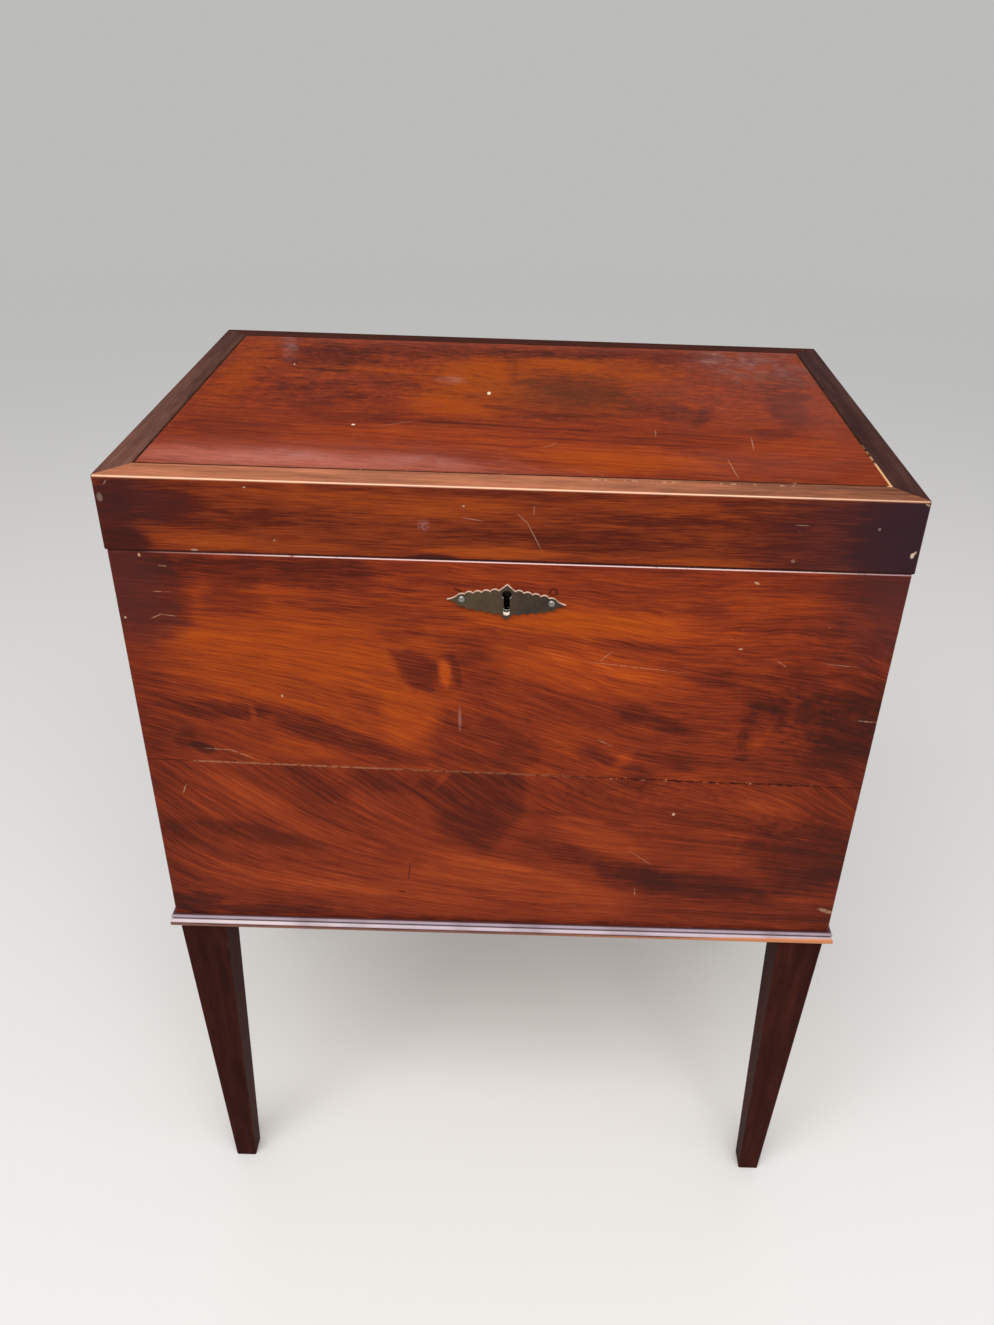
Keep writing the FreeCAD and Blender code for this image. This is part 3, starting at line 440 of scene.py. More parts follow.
LOWER_BLOTS = [
    (0.18, 22, 350, 76, 17, -16), (0.11, -70, 345, 64, 20, -6), (-0.10, -26, 408, 22, 18),
    (-0.09, -26, 441, 40, 14), (0.16, -44, 448, 2.6, 10, -36), (-0.20, -134, 442, 28, 9, -30),
    (-0.14, -84, 443, 22, 10, -8), (-0.17, -172, 391, 36, 8, -14), (-0.11, -226, 392, 26, 12),
    (0.11, -185, 432, 42, 7, -20), (0.11, -165, 352, 66, 10, -10), (-0.31, -236, 325, 24, 9),
    (-0.29, -176, 318.5, 46, 4), (-0.16, 40, 385, 36, 8, -22), (-0.19, 86, 368, 34, 9, -16),
    (-0.25, 136, 355, 54, 12, -5), (-0.20, 218, 386, 40, 31), (-0.10, 190, 362, 60, 15),
    (0.18, 70, 398, 36, 11, -26), (-0.11, 36, 419.5, 22, 1.6, -3), (-0.15, 81, 411, 11, 2.4, -4),
    (0.09, 190, 431, 24, 10), (-0.12, 172, 330, 84, 11), (0.07, 226, 341, 24, 6),
    (-0.05, 150, 410, 50, 20), (-0.14, 90, 448, 16, 5, -10),
]
KNOT = [(-77, 551), (-72, 535), (-62, 519), (-50, 522), (-47, 545), (-57, 552)]
DULL_PATCH = [(190, 526), (197, 502), (212, 482), (262, 476), (262, 528)]
HEART = [(-62, 460), (-56, 421), (-46, 398), (-12, 382), (1, 400), (14, 421), (10, 460)]
UPPER_SCRATCHES = [
    (-229, 569.5, -222, 572.8, 0.7), (-223, 572.6, -213, 571.6, 0.7), (-225, 589, -215, 589, 0.6),
    (-219, 607.5, -214, 607, 0.8), (-208, 468, -189, 467, 0.7), (-191, 467.5, -175, 461, 0.8),
    (60, 548, 67, 555, 0.6), (175, 552, 181.5, 547.5, 0.7), (205, 551, 227, 549, 0.6),
    (235, 507, 249, 506, 0.9), (50, 547, 112, 541, 0.5), (62, 485, 72, 480, 0.7),
]
LOWER_SCRATCHES = [
    (238, 335, 250, 331, 3.4), (-228, 428, -225, 436, 0.8), (98, 350, 98.5, 342, 0.9),
    (92, 386, 108, 374, 0.5),
]
LOWER_NICKS = [(-69, 369, -71, 352, 1.1), (-79, 341, -73, 340.5, 1.8), (22, 330, 26, 333, 0.9)]


def front_marks(upper, x, z, spot, ragged, cloud):
    """Light and dark marks of the front's two veneers."""
    if upper:
        along = streaks(spot.finish.spot(x, upper_flow(x, z)), upper_flow, ragged, UPPER_STREAKS)
        knot = facet(x, z, KNOT, 3.6, cloud * 16.0)
        mottle = facet(x, z, DULL_PATCH, 5.0, cloud * 34.0)
        shade = ease(x, 150.0, 252.0) * -0.19 + ease(x, -190.0, -252.0) * -0.18
        shade = shade + ease(z, 588.0, 614.0) * -0.09
        return along + ovals(spot, ragged, UPPER_BLOTS) - knot * 0.30 - mottle * 0.16 + shade
    along = streaks(spot.finish.spot(x, lower_flow(x, z)), lower_flow, ragged, LOWER_STREAKS)
    heart = facet(x, z, HEART, 4.0, cloud * 14.0)
    # painted shadow along the foot of the lower front, just above the moulding
    foot_shadow = z.ease(FRONT_FOOT + 7.5, FRONT_FOOT + 1.5) * (cloud + 0.5).ease(0.40, 0.60)
    shade = ease(x, 180.0, 252.0) * -0.16 + ease(x, -190.0, -252.0) * -0.14
    heart = heart * (ease(x, -62.0, -20.0) * 0.14 + 0.05)
    return along + ovals(spot, ragged, LOWER_BLOTS) - heart - foot_shadow * 0.30 + shade


def figured_front(upper):
    """Veneer of the front, above or below its split."""
    finish = Finish("figured_front_upper" if upper else "figured_front_lower")
    x, y, z = finish.axes
    spot = finish.spot(x, z)
    flow = upper_flow if upper else lower_flow
    sway = finish.noise(x / 120.0, z / 80.0, 0.3, 4.0, 0.55) - 0.5
    over = flow(x, z) + sway * 16.0
    hair, fibre, streak, pores = grain(finish, x, over, y, width=2.2)
    cloud = finish.noise(x / 34.0, z / 24.0, 7.0, 5.0, 0.6) - 0.5
    feather = finish.noise(x / 30.0, over / 4.0, 5.0) - 0.5
    ragged = cloud * 1.5 + feather * 0.6 + fibre * 0.10
    tone = hair * 0.44 + cloud * 0.24
    tone = tone + (fibre * 0.28 + streak * 0.14 + 0.57 if upper else fibre * 0.22 + streak * 0.26 + 0.51)
    tone = tone + front_marks(upper, x, z, spot, ragged, cloud)
    mottle = finish.noise(x / 7.0, z / 5.0, 2.0, 5.0, 0.62).ease(0.46, 0.66)
    if upper:
        burr = oval(spot, (212, 504), (56, 28), cloud, edge=0.6)
    else:
        burr = oval(spot, (80, 444), (90, 14), cloud, edge=0.6)
        burr = (burr + oval(spot, (200, 405), (56, 20), cloud, edge=0.6)) * 0.6
    tone = tone - mottle * burr * 0.20 - pores * 0.12
    finish.ground(tone * 0.8, *MAHOGANY)
    if upper:
        dusk = oval(spot, (246, 596), (34, 36), ragged, edge=0.9)
        dusk = dusk + oval(spot, (-246, 590), (28, 38), ragged, edge=0.9) * 0.8
        finish.paint(dusk * 0.62, srgb(80, 38, 35))
        warm = oval(spot, (-150, 545), (120, 60), ragged * 0.6, edge=0.7)
        warm = warm + oval(spot, (40, 575), (60, 10), ragged, edge=0.6)
        finish.paint(warm.least(1.0) * (tone - 0.45).least(0.5).most(0.0) * 0.8, AMBER)
    else:
        # painted sheen: a faint pinkish haze over the lighter wood
        finish.paint((tone - 0.50).least(0.5).most(0.0) * 0.10, PINK_SHEEN)

    split = z - (SPLIT_LEFT - (x + FRONT_END) * (SPLIT_FALL / (2 * FRONT_END)))
    chips = finish.noise(x / 5.0, z / 3.0, 1.0, 4.0, 0.6)
    torn = x.ease(45.0, 80.0) * x.ease(225.0, 200.0)
    fine = x.ease(-222.0, -214.0) * x.ease(75.0, 10.0)
    pale = abs(split).ease(0.9, 0.3) * fine * chips.ease(0.38, 0.52) * (x.ease(-60.0, -120.0) * 0.25 + 0.35)
    pale = (pale + abs(split).ease(1.4, 0.7) * torn * chips.ease(0.60, 0.64) * 0.8).least(1.0)
    hollow = abs(split).ease(2.0, 0.6) * torn * chips.ease(0.52, 0.44) * 0.7
    hollow = (hollow + abs(split).ease(0.7, 0.3) * 0.3).least(1.0)
    # the left and right arrises: rubbed, with a painted highlight along them
    arris = abs(x).ease(FRONT_END - 0.9, FRONT_END - 0.3)
    arris = arris * finish.noise(z / 12.0, x / 100.0, 6.0, 4.0, 0.6).ease(0.46, 0.62)
    specks = finish.flecks(8.0, 0.10, 0.035) * 0.6
    if upper:
        dust = finish.flecks(5.0, 0.16, 0.07) * oval(spot, (190, 565), (50, 50), cloud, edge=0.5)
        specks = (specks + dust * 0.5).least(1.0)
    finish.paint(hollow * 0.85, EMBER)
    finish.paint(pale, srgb(196, 134, 96))
    finish.paint(arris * 0.5, srgb(190, 134, 116))
    finish.paint(specks, BONE)

    lines = UPPER_SCRATCHES if upper else LOWER_SCRATCHES
    rubbed = scratches(spot, lines) * finish.noise(x / 3.0, z / 3.0, 4.0, 2.0, 0.6).ease(0.32, 0.52)
    finish.paint(rubbed * 0.30, BONE)
    if upper:
        stain = oval(spot, (-32, 499), (0.9, 9), cloud, edge=0.6)
        finish.paint(stain * 0.32, srgb(176, 130, 120))
        dots = total([
            oval(spot, (-150.5, 513), (0.8, 1.0)), oval(spot, (150, 560), (1.4, 0.6)),
            oval(spot, (-245.6, 569.5), (0.9, 0.7)), oval(spot, (-229.8, 614.3), (0.8, 1.2)),
            oval(spot, (154, 608), (1.8, 0.7), 0.0, -20),
        ]).least(1.0)
        finish.paint(dots * 0.5, BONE)
        bruise = total([
            oval(spot, (-33.5, 597.0), (2.4, 0.8), feather, -35),
            oval(spot, (-31.0, 595.6), (0.8, 2.0), feather, 20),
            oval(spot, (27.6, 597.4), (3.0, 2.6), feather)
            * (1.0 - oval(spot, (27.2, 597.0), (1.3, 1.4), feather)),
        ]).least(1.0)
        finish.paint(bruise * 0.65, EMBER)
        # painted highlight: a pale pink line along the front's top arris, under the lid, faint at the left
        # and weaker at the right
        share = x.ease(-212.0, -120.0) * 0.62 + x.ease(-232.0, -212.0) * 0.12
        share = share * (1.0 - x.ease(130.0, 235.0) * 0.55)
        rim = z.ease(RIM - 0.75, RIM - 0.35) * finish.noise(x / 14.0, 0.0, 2.0).ease(0.28, 0.42)
        finish.paint(rim * share, srgb(250, 212, 208))
    else:
        finish.paint(scratches(spot, LOWER_NICKS) * 0.6, EMBER)
        finish.paint(oval(spot, (120, 422), (1.0, 1.2)) * 0.7, BONE)
    worn = finish.noise(x / 40.0, z / 40.0, 3.0)
    roughness = worn * 0.22 + 0.24 + specks * 0.3
    height = fibre * 0.2 - pores * 0.6 - hollow * 2.0 - rubbed * 0.8 + pale * 0.5
    return finish.surface(roughness, height, depth=0.05, **POLISH)


def lid_flow(x, y):
    """The grain line through a point of the lid's field."""
    return y + x * 0.08


TOP_STREAKS = [
    (-0.12, -97, 32, 28, 5), (-0.22, -10, -55, 66, 2.2), (-0.13, 20, -66, 90, 1.8),
    (-0.13, 40, -78, 90, 1.6), (-0.09, 0, -112, 110, 1.6), (-0.09, 40, -122, 90, 1.6),
    (-0.11, -60, -90, 90, 1.8), (0.09, 50, -104, 80, 4), (0.09, -60, -104, 110, 4),
    (-0.13, -120, 58, 60, 2.5), (0.13, -118, 66, 50, 5), (-0.11, 120, -62, 60, 2),
]
TOP_BLOTS = [
    (0.15, -30, 62, 26, 40, 4), (0.20, -52, -16, 34, 18, -34), (0.19, 38, 96, 34, 14, -20),
    (0.17, 96, 66, 22, 11, -24), (0.05, -212, 70, 13, 76), (-0.20, 40, 36, 38, 22, -8),
    (-0.19, 42, 10, 36, 16, 8), (-0.16, 2, -22, 46, 5, -18), (-0.19, 46, -28, 26, 4.5, 4),
    (-0.10, -6, 72, 4.5, 42, 2), (-0.10, -86, 30, 18, 7, -10), (-0.17, 102, -8, 34, 20, -30),
    (-0.19, 132, -24, 6, 20, -20), (-0.28, 196, 10, 15, 48), (-0.20, 210, 70, 12, 40),
    (-0.12, -150, 4, 34, 30, -40), (-0.14, -186, -76, 44, 16, -14), (-0.12, -110, -50, 30, 12),
    (-0.16, -60, 122, 110, 18), (-0.16, 80, 128, 90, 16), (-0.20, -150, 98, 34, 34, -8),
    (0.17, 60, -112, 56, 24), (0.14, -40, -78, 90, 16, -4), (0.12, 190, -84, 44, 20),
    (-0.14, 178, -54, 16, 9), (0.10, -140, -84, 50, 12, -8), (-0.09, 66, 18, 8, 6),
]
TOP_GOLD = [
    (1.0, -30, 40, 44, 70), (0.9, 50, 92, 70, 30, -10), (0.5, -212, 60, 16, 90), (0.5, -120, 66, 50, 14),
    (0.5, 70, -116, 60, 20),
]
# places of painted sheen patches on the top
TOP_SHEEN_SPOTS = [
    (1.0, 160, 130, 10, 18), (0.9, 178, 124, 22, 12), (0.5, 190, 110, 50, 44), (0.8, -190, 122, 6, 34, 12),
    (0.9, -52, 44, 9, 10), (0.5, -60, -124, 26, 9), (0.5, -146, -124, 30, 10), (0.5, 170, 75, 4, 12, -14),
]
# places of a painted sheen: a pinkish haze of reflected light on the top
TOP_SHEEN_HAZE = [
    (0.7, -150, -120, 120, 22, 2), (0.35, 150, -112, 50, 22), (0.4, 170, 20, 70, 60),
    (0.4, 0, 148, 300, 12),
]
TOP_SCRATCHES = [
    (-94, -64, -72, -52, 0.7), (159, -63, 157, -86, 1.0), (18, -95, 27, -86, 0.8), (95, -54, 94, -66, 0.8),
    (137, -104, 139, -138, 0.8),
]


def figured_lid():
    """Veneer of the lid's field, cloudy at the back and straighter to the front."""
    finish = Finish("figured_lid")
    x, y, z = finish.axes
    spot = finish.spot(x, y)
    sway = finish.noise(x / 90.0, y / 70.0, 0.9, 4.0, 0.55) - 0.5
    over = lid_flow(x, y) + sway * (y.ease(-90.0, 20.0) * 46.0 + 12.0)
    hair, fibre, streak, pores = grain(finish, x, over, z, width=2.4)
    cloud = finish.noise(x / 26.0, y / 18.0, 3.0, 5.0, 0.62) - 0.5
    mottle = finish.noise(x / 10.0, y / 6.0, 8.0, 5.0, 0.66) - 0.5
    feather = finish.noise(x / 30.0, over / 5.0, 5.0) - 0.5
    ragged = cloud * 1.7 + feather * 0.9 + fibre * 0.10
    back = y.ease(-80.0, 20.0)
    tone = hair * 0.40 + fibre * (0.30 - back * 0.08) + streak * 0.16 + cloud * (back * 0.40 + 0.15) + 0.545
    ripple = finish.noise(x / 4.0, y / 3.0, 1.0) - 0.5
    tone = tone + mottle * (back * 0.76 + 0.16) + ripple * (back * 0.34 + 0.14)
    tone = tone + streaks(finish.spot(x, lid_flow(x, y)), lid_flow, ragged, TOP_STREAKS)
    tone = tone + ovals(spot, ragged, TOP_BLOTS)
    finish.ground((tone - pores * 0.10) * 0.8, *MAHOGANY)
    gold = ovals(spot, ragged, TOP_GOLD, 0.6).least(1.0)
    finish.paint((gold * (tone - 0.20).least(0.7).most(0.0) * 1.4).least(1.0), srgb(154, 66, 0))
    sheen_breakup = finish.noise(x / 12.0, y / 14.0, 6.0, 5.0, 0.65).ease(0.40, 0.70)
    sheen_spots = ovals(spot, ragged, TOP_SHEEN_SPOTS, 0.6).least(1.0)
    # painted sheen: a pinkish haze of reflected light, strongest at the front left; it also makes the top a
    # little rougher
    sheen_haze = ovals(spot, ragged, TOP_SHEEN_HAZE, 0.7).least(1.0)
    finish.paint(sheen_haze * 0.26, srgb(174, 98, 84))
    # painted highlight: a pinkish-white band of reflected light along the front left of the top
    sheen_highlight = oval(spot, (-136, -131), (120, 15), ragged * 0.4, -3, 0.8) * (hair * 0.6 + 0.6).most(0.0)
    finish.paint((sheen_highlight * 0.42).least(1.0), srgb(222, 140, 122))
    blush = oval(spot, (214, 40), (24, 110), ragged * 0.5, edge=0.8)
    finish.paint(blush * 0.22, srgb(140, 72, 58))
    umber = oval(spot, (40, 22), (56, 40), ragged, edge=0.8)
    finish.paint(umber * 0.42, srgb(112, 56, 22))
    # painted sheen: greyish-pink patches of reflected haze, broken up by noise
    finish.paint(sheen_spots * (sheen_breakup * 0.8 + 0.2) * 0.36, srgb(176, 140, 136))
    spots = total([
        oval(spot, (-21.7, 15.6), (1.3, 3.4), edge=0.3), oval(spot, (-110, -62), (1.2, 1.4), edge=0.3),
        oval(spot, (-176.0, 73.0), (0.6, 2.0), 0.0, 12, 0.3) * 0.6,
        finish.flecks(9.0, 0.10, 0.04) * 0.45,
    ]).least(1.0)
    rubbed = scratches(spot, TOP_SCRATCHES)
    finish.paint(spots * 0.9, srgb(232, 214, 186))
    finish.paint(rubbed * 0.22, BONE)
    worn = finish.noise(x / 60.0, y / 60.0, 3.0)
    roughness = worn * 0.20 + 0.30 + sheen_haze * 0.1
    height = fibre * 0.2 - pores * 0.5 - rubbed * 0.8
    return finish.surface(roughness, height, depth=0.04, **TOP_POLISH)


LID_FRONT_BLOTS = [
    (-0.16, -226, 652, 34, 14), (-0.26, -246, 622, 22, 10), (-0.12, -246, 640, 18, 24),
    (-0.11, -190, 641, 46, 9), (0.14, -188, 626, 30, 5), (0.11, -140, 623, 46, 3.5),
    (0.11, -126, 658, 42, 6), (0.11, -40, 654, 48, 7), (-0.08, -110, 642, 60, 6), (0.08, -70, 646, 40, 8),
    (0.24, -6, 623, 40, 4), (-0.30, -48, 618.6, 14, 2.4), (-0.12, 52, 633, 44, 8), (-0.11, 74, 648, 34, 4),
    (0.07, 80, 657, 40, 4), (0.14, 116, 620, 36, 3), (-0.12, 180, 640, 60, 20), (-0.06, 120, 646, 60, 5),
    (-0.07, -6, 662, 240, 2.4), (-0.07, -10, 634, 50, 4), (-0.18, 236, 640, 26, 40),
]
LID_FRONT_WEAR = [
    (1.0, 246.4, 630.0, 1.1, 1.6, -6), (0.8, 247.8, 632.0, 0.6, 1.0, -20), (0.45, -29, 653.5, 0.7, 0.6),
    (0.5, -160, 661.2, 0.8, 0.5), (0.2, -247.5, 652, 1.6, 2.6), (0.20, 174, 624, 1.2, 1.2),
    (0.24, 223, 647, 0.8, 0.9), (0.4, -195, 618.9, 2.0, 0.6), (0.3, -145, 627, 0.6, 0.6),
    (0.4, 249, 663.6, 2.0, 0.7, -30),
]
LID_FRONT_SCRATCHES = [
    (3, 650, 10.5, 643, 0.45), (9.5, 644, 18.6, 626.5, 0.55), (-243.8, 660.4, -241.8, 663.0, 0.7),
    (-30, 646, -18, 644.4, 0.5), (13.4, 655, 13.4, 649.5, 0.45), (172, 648, 180, 648, 0.5),
]


def lid_front():
    """The lid's front rail: straight grain, dark at both ends, warmer along its lower edge."""
    finish = Finish("lid_front_rail")
    x, y, z = finish.axes
    spot = finish.spot(x, z)
    sway = finish.noise(x / 130.0, z / 60.0, 2.2, 3.0, 0.5) - 0.5
    over = z + sway * 6.0
    hair, fibre, streak, pores = grain(finish, x, over, y, length=40.0, width=1.7)
    cloud = finish.noise(x / 30.0, z / 12.0, 5.0, 4.0, 0.58) - 0.5
    feather = finish.noise(x / 34.0, over / 4.0, 5.0) - 0.5
    ragged = cloud * 1.2 + feather * 0.8
    tone = hair * 0.34 + fibre * 0.14 + streak * 0.10 + cloud * 0.16 + 0.395
    # the last term is painted shade along the lower edge, by the joint with the carcase
    tone = tone + ovals(spot, ragged, LID_FRONT_BLOTS) - z.ease(LID_FOOT + 1.9, LID_FOOT + 0.1) * 0.6
    finish.ground((tone - pores * 0.12) * 0.8, *MAHOGANY)
    finish.paint((tone - 0.25).least(0.5).most(0.0) * 0.8, srgb(160, 78, 20))
    ends = ease(x, 120.0, 250.0) * 0.80 + ease(x, 200.0, 240.0) * 0.14
    ends = ends + oval(spot, (-236, 652), (30, 20), ragged, edge=0.5) * 0.35
    finish.paint(ends, srgb(44, 28, 33))
    wear = ovals(spot, feather, LID_FRONT_WEAR, 0.4)
    specks = finish.flecks(7.0, 0.12, 0.04) * 0.5
    rubbed = scratches(spot, LID_FRONT_SCRATCHES)
    mar = oval(spot, (-53.5, 640.2), (3.4, 3.8), feather, edge=0.6)
    mar = mar * finish.noise(x / 1.3, z / 1.3, 9.0).ease(0.42, 0.60)
    finish.paint(mar * 0.4, srgb(158, 120, 124))
    # the end arrises: rubbed, with a painted highlight along them
    arris = abs(x).ease(LID_END - 1.0, LID_END - 0.4) * finish.noise(z / 9.0, 0.0, 6.0).ease(0.40, 0.60)
    finish.paint(arris * 0.6, srgb(150, 96, 76))
    finish.paint((wear * 0.8 + specks + rubbed * 0.26).least(1.0) * 0.9, srgb(222, 192, 168))
    shadow = z.ease(LID_FOOT + 1.9, LID_FOOT + 0.9) * x.ease(-90.0, -10.0)
    finish.paint(shadow * 0.8, EMBER)
    torn = z.ease(LID_FOOT + 3.4, LID_FOOT + 0.4) * finish.noise(x / 9.0, 0.0, 4.0).ease(0.60, 0.66)
    finish.paint(torn * 0.7, EMBER)
    roughness = finish.noise(x / 30.0, z / 30.0, 3.0) * 0.24 + 0.26
    height = fibre * 0.2 - pores * 0.6 - rubbed * 0.8 - torn * 1.5
    return finish.surface(roughness, height, depth=0.05, **POLISH)


def plain_mahogany(name, run, tones, shine=0.28, worn_edges=0.0, seed=0.0, polish=POLISH):
    """Plain polished mahogany whose grain runs along x, y or z; tones go from dark to light."""
    finish = Finish(name)
    along, over, deep = finish.along(run)
    sway = finish.noise(along / 140.0, over / 60.0, deep / 60.0 + seed, 3.0, 0.5) - 0.5
    hair, fibre, streak, pores = grain(finish, along + seed * 97.0, over + sway * 14.0, deep + sway * 8.0)
    cloud = finish.noise(along / 90.0, over / 30.0 + seed, deep / 30.0, 3.0, 0.55)
    tone = hair * 0.18 + fibre * 0.20 + streak * 0.30 + (cloud - 0.5) * 0.8 + 0.5 - pores * 0.08
    finish.ground(tone, *scale(tones))
    marks = finish.flecks(15.0, 0.10, 0.04)
    finish.paint(marks * 0.55, BONE)
    if worn_edges:
        patchy = finish.patches(18.0).ease(0.40, 0.62)
        finish.paint(finish.edge_wear(1.2) * patchy * worn_edges, HONEY)
    height = fibre * 0.2 - pores * 0.6
    return finish.surface(cloud * 0.20 + shine, height, depth=0.05, **polish)


CROSSBAND_TONES = {
    "front": ((0.0, srgb(90, 52, 40)), (0.35, srgb(138, 84, 60)), (0.68, srgb(180, 111, 80)),
              (1.0, srgb(212, 144, 116))),
    "back": ((0.0, srgb(34, 14, 10)), (0.5, srgb(62, 24, 16)), (1.0, srgb(88, 36, 22))),
    "left": ((0.0, srgb(44, 24, 21)), (0.45, srgb(74, 45, 38)), (1.0, srgb(116, 78, 66))),
    "right": ((0.0, srgb(32, 16, 15)), (0.45, srgb(56, 32, 29)), (1.0, srgb(88, 56, 48))),
}


def crossband(side):
    """A crossband of the lid; its outer arris is painted pale, as rubbed bare wood with a painted highlight
    along it.
    """
    finish = Finish(f"{side}_crossband")
    x, y, z = finish.axes
    if side in ("front", "back"):
        along, over = x, y
        edge = y - LID_FRONT if side == "front" else LID_BACK - y
    else:
        along, over, edge = y, x, LID_END - abs(x)
    hair, fibre, streak, pores = grain(finish, along, over, z, length=34.0, width=1.8)
    cloud = finish.noise(along / 50.0, over / 12.0, 3.0, 4.0, 0.6) - 0.5
    tone = hair * 0.22 + fibre * 0.26 + streak * 0.30 + cloud * 0.6 + 0.5
    if side == "front":
        tone = tone - x.ease(30.0, 190.0) * 0.30 + 0.02
    elif side == "left":
        tone = tone + y.ease(60.0, -140.0) * 0.24
    elif side == "right":
        tone = tone + edge.ease(10.0, 4.0) * 0.10
    finish.ground(tone - pores * 0.08, *CROSSBAND_TONES[side])
    broken = finish.patches(14.0)
    # the outer arris: rubbed bare wood, with a painted highlight along it
    pale_edge = edge.ease(0.8, 0.4) * z.ease(LID_TOP - 1.1, LID_TOP - 0.7)
    if side == "front":
        bare = y.ease(-148.4, -147.6) * y.ease(-146.0, -146.6) * x.ease(30.0, 50.0) * x.ease(195.0, 170.0)
        bare = bare * finish.noise(x / 6.0, 0.0, 5.0, 4.0, 0.6).ease(0.52, 0.57)
        finish.paint(bare * 0.5, srgb(214, 170, 128))
        pale_edge = pale_edge * broken.ease(0.22, 0.34) * (0.9 - x.ease(130.0, 240.0) * 0.35)
        finish.paint(pale_edge, srgb(236, 192, 162))
    else:
        finish.paint(pale_edge * broken.ease(0.40, 0.60) * 0.5, srgb(160, 118, 100))
    marks = finish.flecks(12.0, 0.14, 0.05)
    finish.paint(marks * 0.7, BONE)
    height = fibre * 0.2 - pores * 0.6
    return finish.surface(cloud * 0.2 + 0.42, height, depth=0.05, **TOP_POLISH)


def inlaid_line():
    """The line round the lid's field: dark with dirt, pale where the boxwood shows."""
    finish = Finish("inlaid_line")
    x, y = finish.x, finish.y
    broken = finish.noise(x / 7.0, y / 7.0, 2.0, 4.0, 0.6)
    finish.ground(broken, (0.30, srgb(24, 13, 10)), (0.60, srgb(62, 34, 22)))
    right_line = x.ease(229.0, 230.5)
    bare = right_line * y.ease(-100.0, -108.0) * y.ease(-146.0, -143.0)
    faded = right_line * y.ease(-60.0, -100.0) * broken.ease(0.46, 0.56) * 0.6
    front_line = y.ease(-141.0, -142.5)
    middle = front_line * abs(y - LINE_MIDDLE).ease(0.6, 0.2)
    finish.paint(middle * 0.5, srgb(128, 84, 70))
    bits = front_line * broken.ease(0.64, 0.67) * 0.7
    pale = (bare + faded + bits).least(1.0)
    finish.paint(pale, srgb(206, 160, 112))
    return finish.surface(0.6 - pale * 0.1, broken, depth=0.3, radius=0.2, **TOP_POLISH)


def moulding(side):
    """The beaded base moulding: a painted highlight along each bead's crest, dark between them, lighter
    below.
    """
    finish = Finish(f"{side}_moulding")
    x, y, z = finish.axes
    along, over = (y, x) if side in ("left", "right") else (x, y)
    hair, fibre, streak, pores = grain(finish, along, over, z, length=40.0, width=1.5)
    tone = hair * 0.2 + fibre * 0.3 + streak * 0.4 + 0.5 - pores * 0.08
    finish.ground(tone, (0.0, srgb(38, 16, 18)), (0.5, srgb(66, 30, 30)), (1.0, srgb(96, 44, 34)))
    broken = finish.noise(along / 22.0, over / 22.0, 6.0, 4.0, 0.6)
    soft = finish.noise(along / 40.0, over / 40.0, 2.0, 2.0, 0.5).ease(0.25, 0.60) * 0.4 + 0.6
    # painted highlights along the two bead crests, brighter toward the left of the front
    upper_bead_highlight = abs(z - BEAD_CRESTS[0]).ease(1.4, 0.6)
    lower_bead_highlight = abs(z - BEAD_CRESTS[1]).ease(1.4, 0.6)
    pale = srgb(200, 182, 192)
    if side == "front":
        pale = finish.lay(x.ease(-40.0, -200.0), pale, srgb(222, 204, 208))
    finish.paint(upper_bead_highlight * soft * 0.72, srgb(184, 166, 180))
    finish.paint(lower_bead_highlight * soft * 0.84, pale)
    # a lighter band along the lower edge, higher and warmer toward the right of the front
    reach, pale_edge = LIGHTER_BELOW, srgb(158, 92, 54)
    if side == "front":
        reach = x.ease(110.0, 235.0) * 2.0 + LIGHTER_BELOW
        pale_edge = finish.lay(x.ease(-20.0, 220.0), srgb(128, 78, 58), srgb(204, 128, 80))
    low = (z - reach + (broken - 0.5) * 2.0).ease(0.5, -0.5)
    finish.paint(low * 0.85, pale_edge)
    height = fibre * 0.2 - pores * 0.5
    return finish.surface(broken * 0.16 + 0.2, height, depth=0.04, radius=0.5, **MOULDING_POLISH)


def bare_wood(name, run, tones, seed):
    """Unpolished wood: matt, with year rings, fibres, stains and small dark specks."""
    finish = Finish(name)
    along, over, deep = finish.along(run)
    sway = finish.noise(along / 160.0, over / 70.0, deep / 70.0 + seed, 2.0, 0.5) - 0.5
    ring = finish.noise(along / 300.0, (over + sway * 18.0) / 5.0 + seed, (deep + sway * 9.0) / 5.0)
    fibre = finish.noise(along / 40.0, over / 0.9, deep / 0.9)
    stain = finish.noise(finish.x / 70.0, finish.y / 70.0, finish.z / 70.0 + seed, 4.0, 0.6)
    tone = ring * 0.45 + fibre * 0.25 + stain * 0.35
    finish.ground(tone, *scale(tones, 0.25, 0.75))
    specks = finish.flecks(11.0, 0.12, 0.06)
    finish.paint(specks * 0.5, srgb(60, 36, 22))
    height = fibre * 0.7 + ring * 0.4
    return finish.surface(stain * 0.15 + 0.66, height, depth=0.08, radius=0.4, **UNPOLISHED)


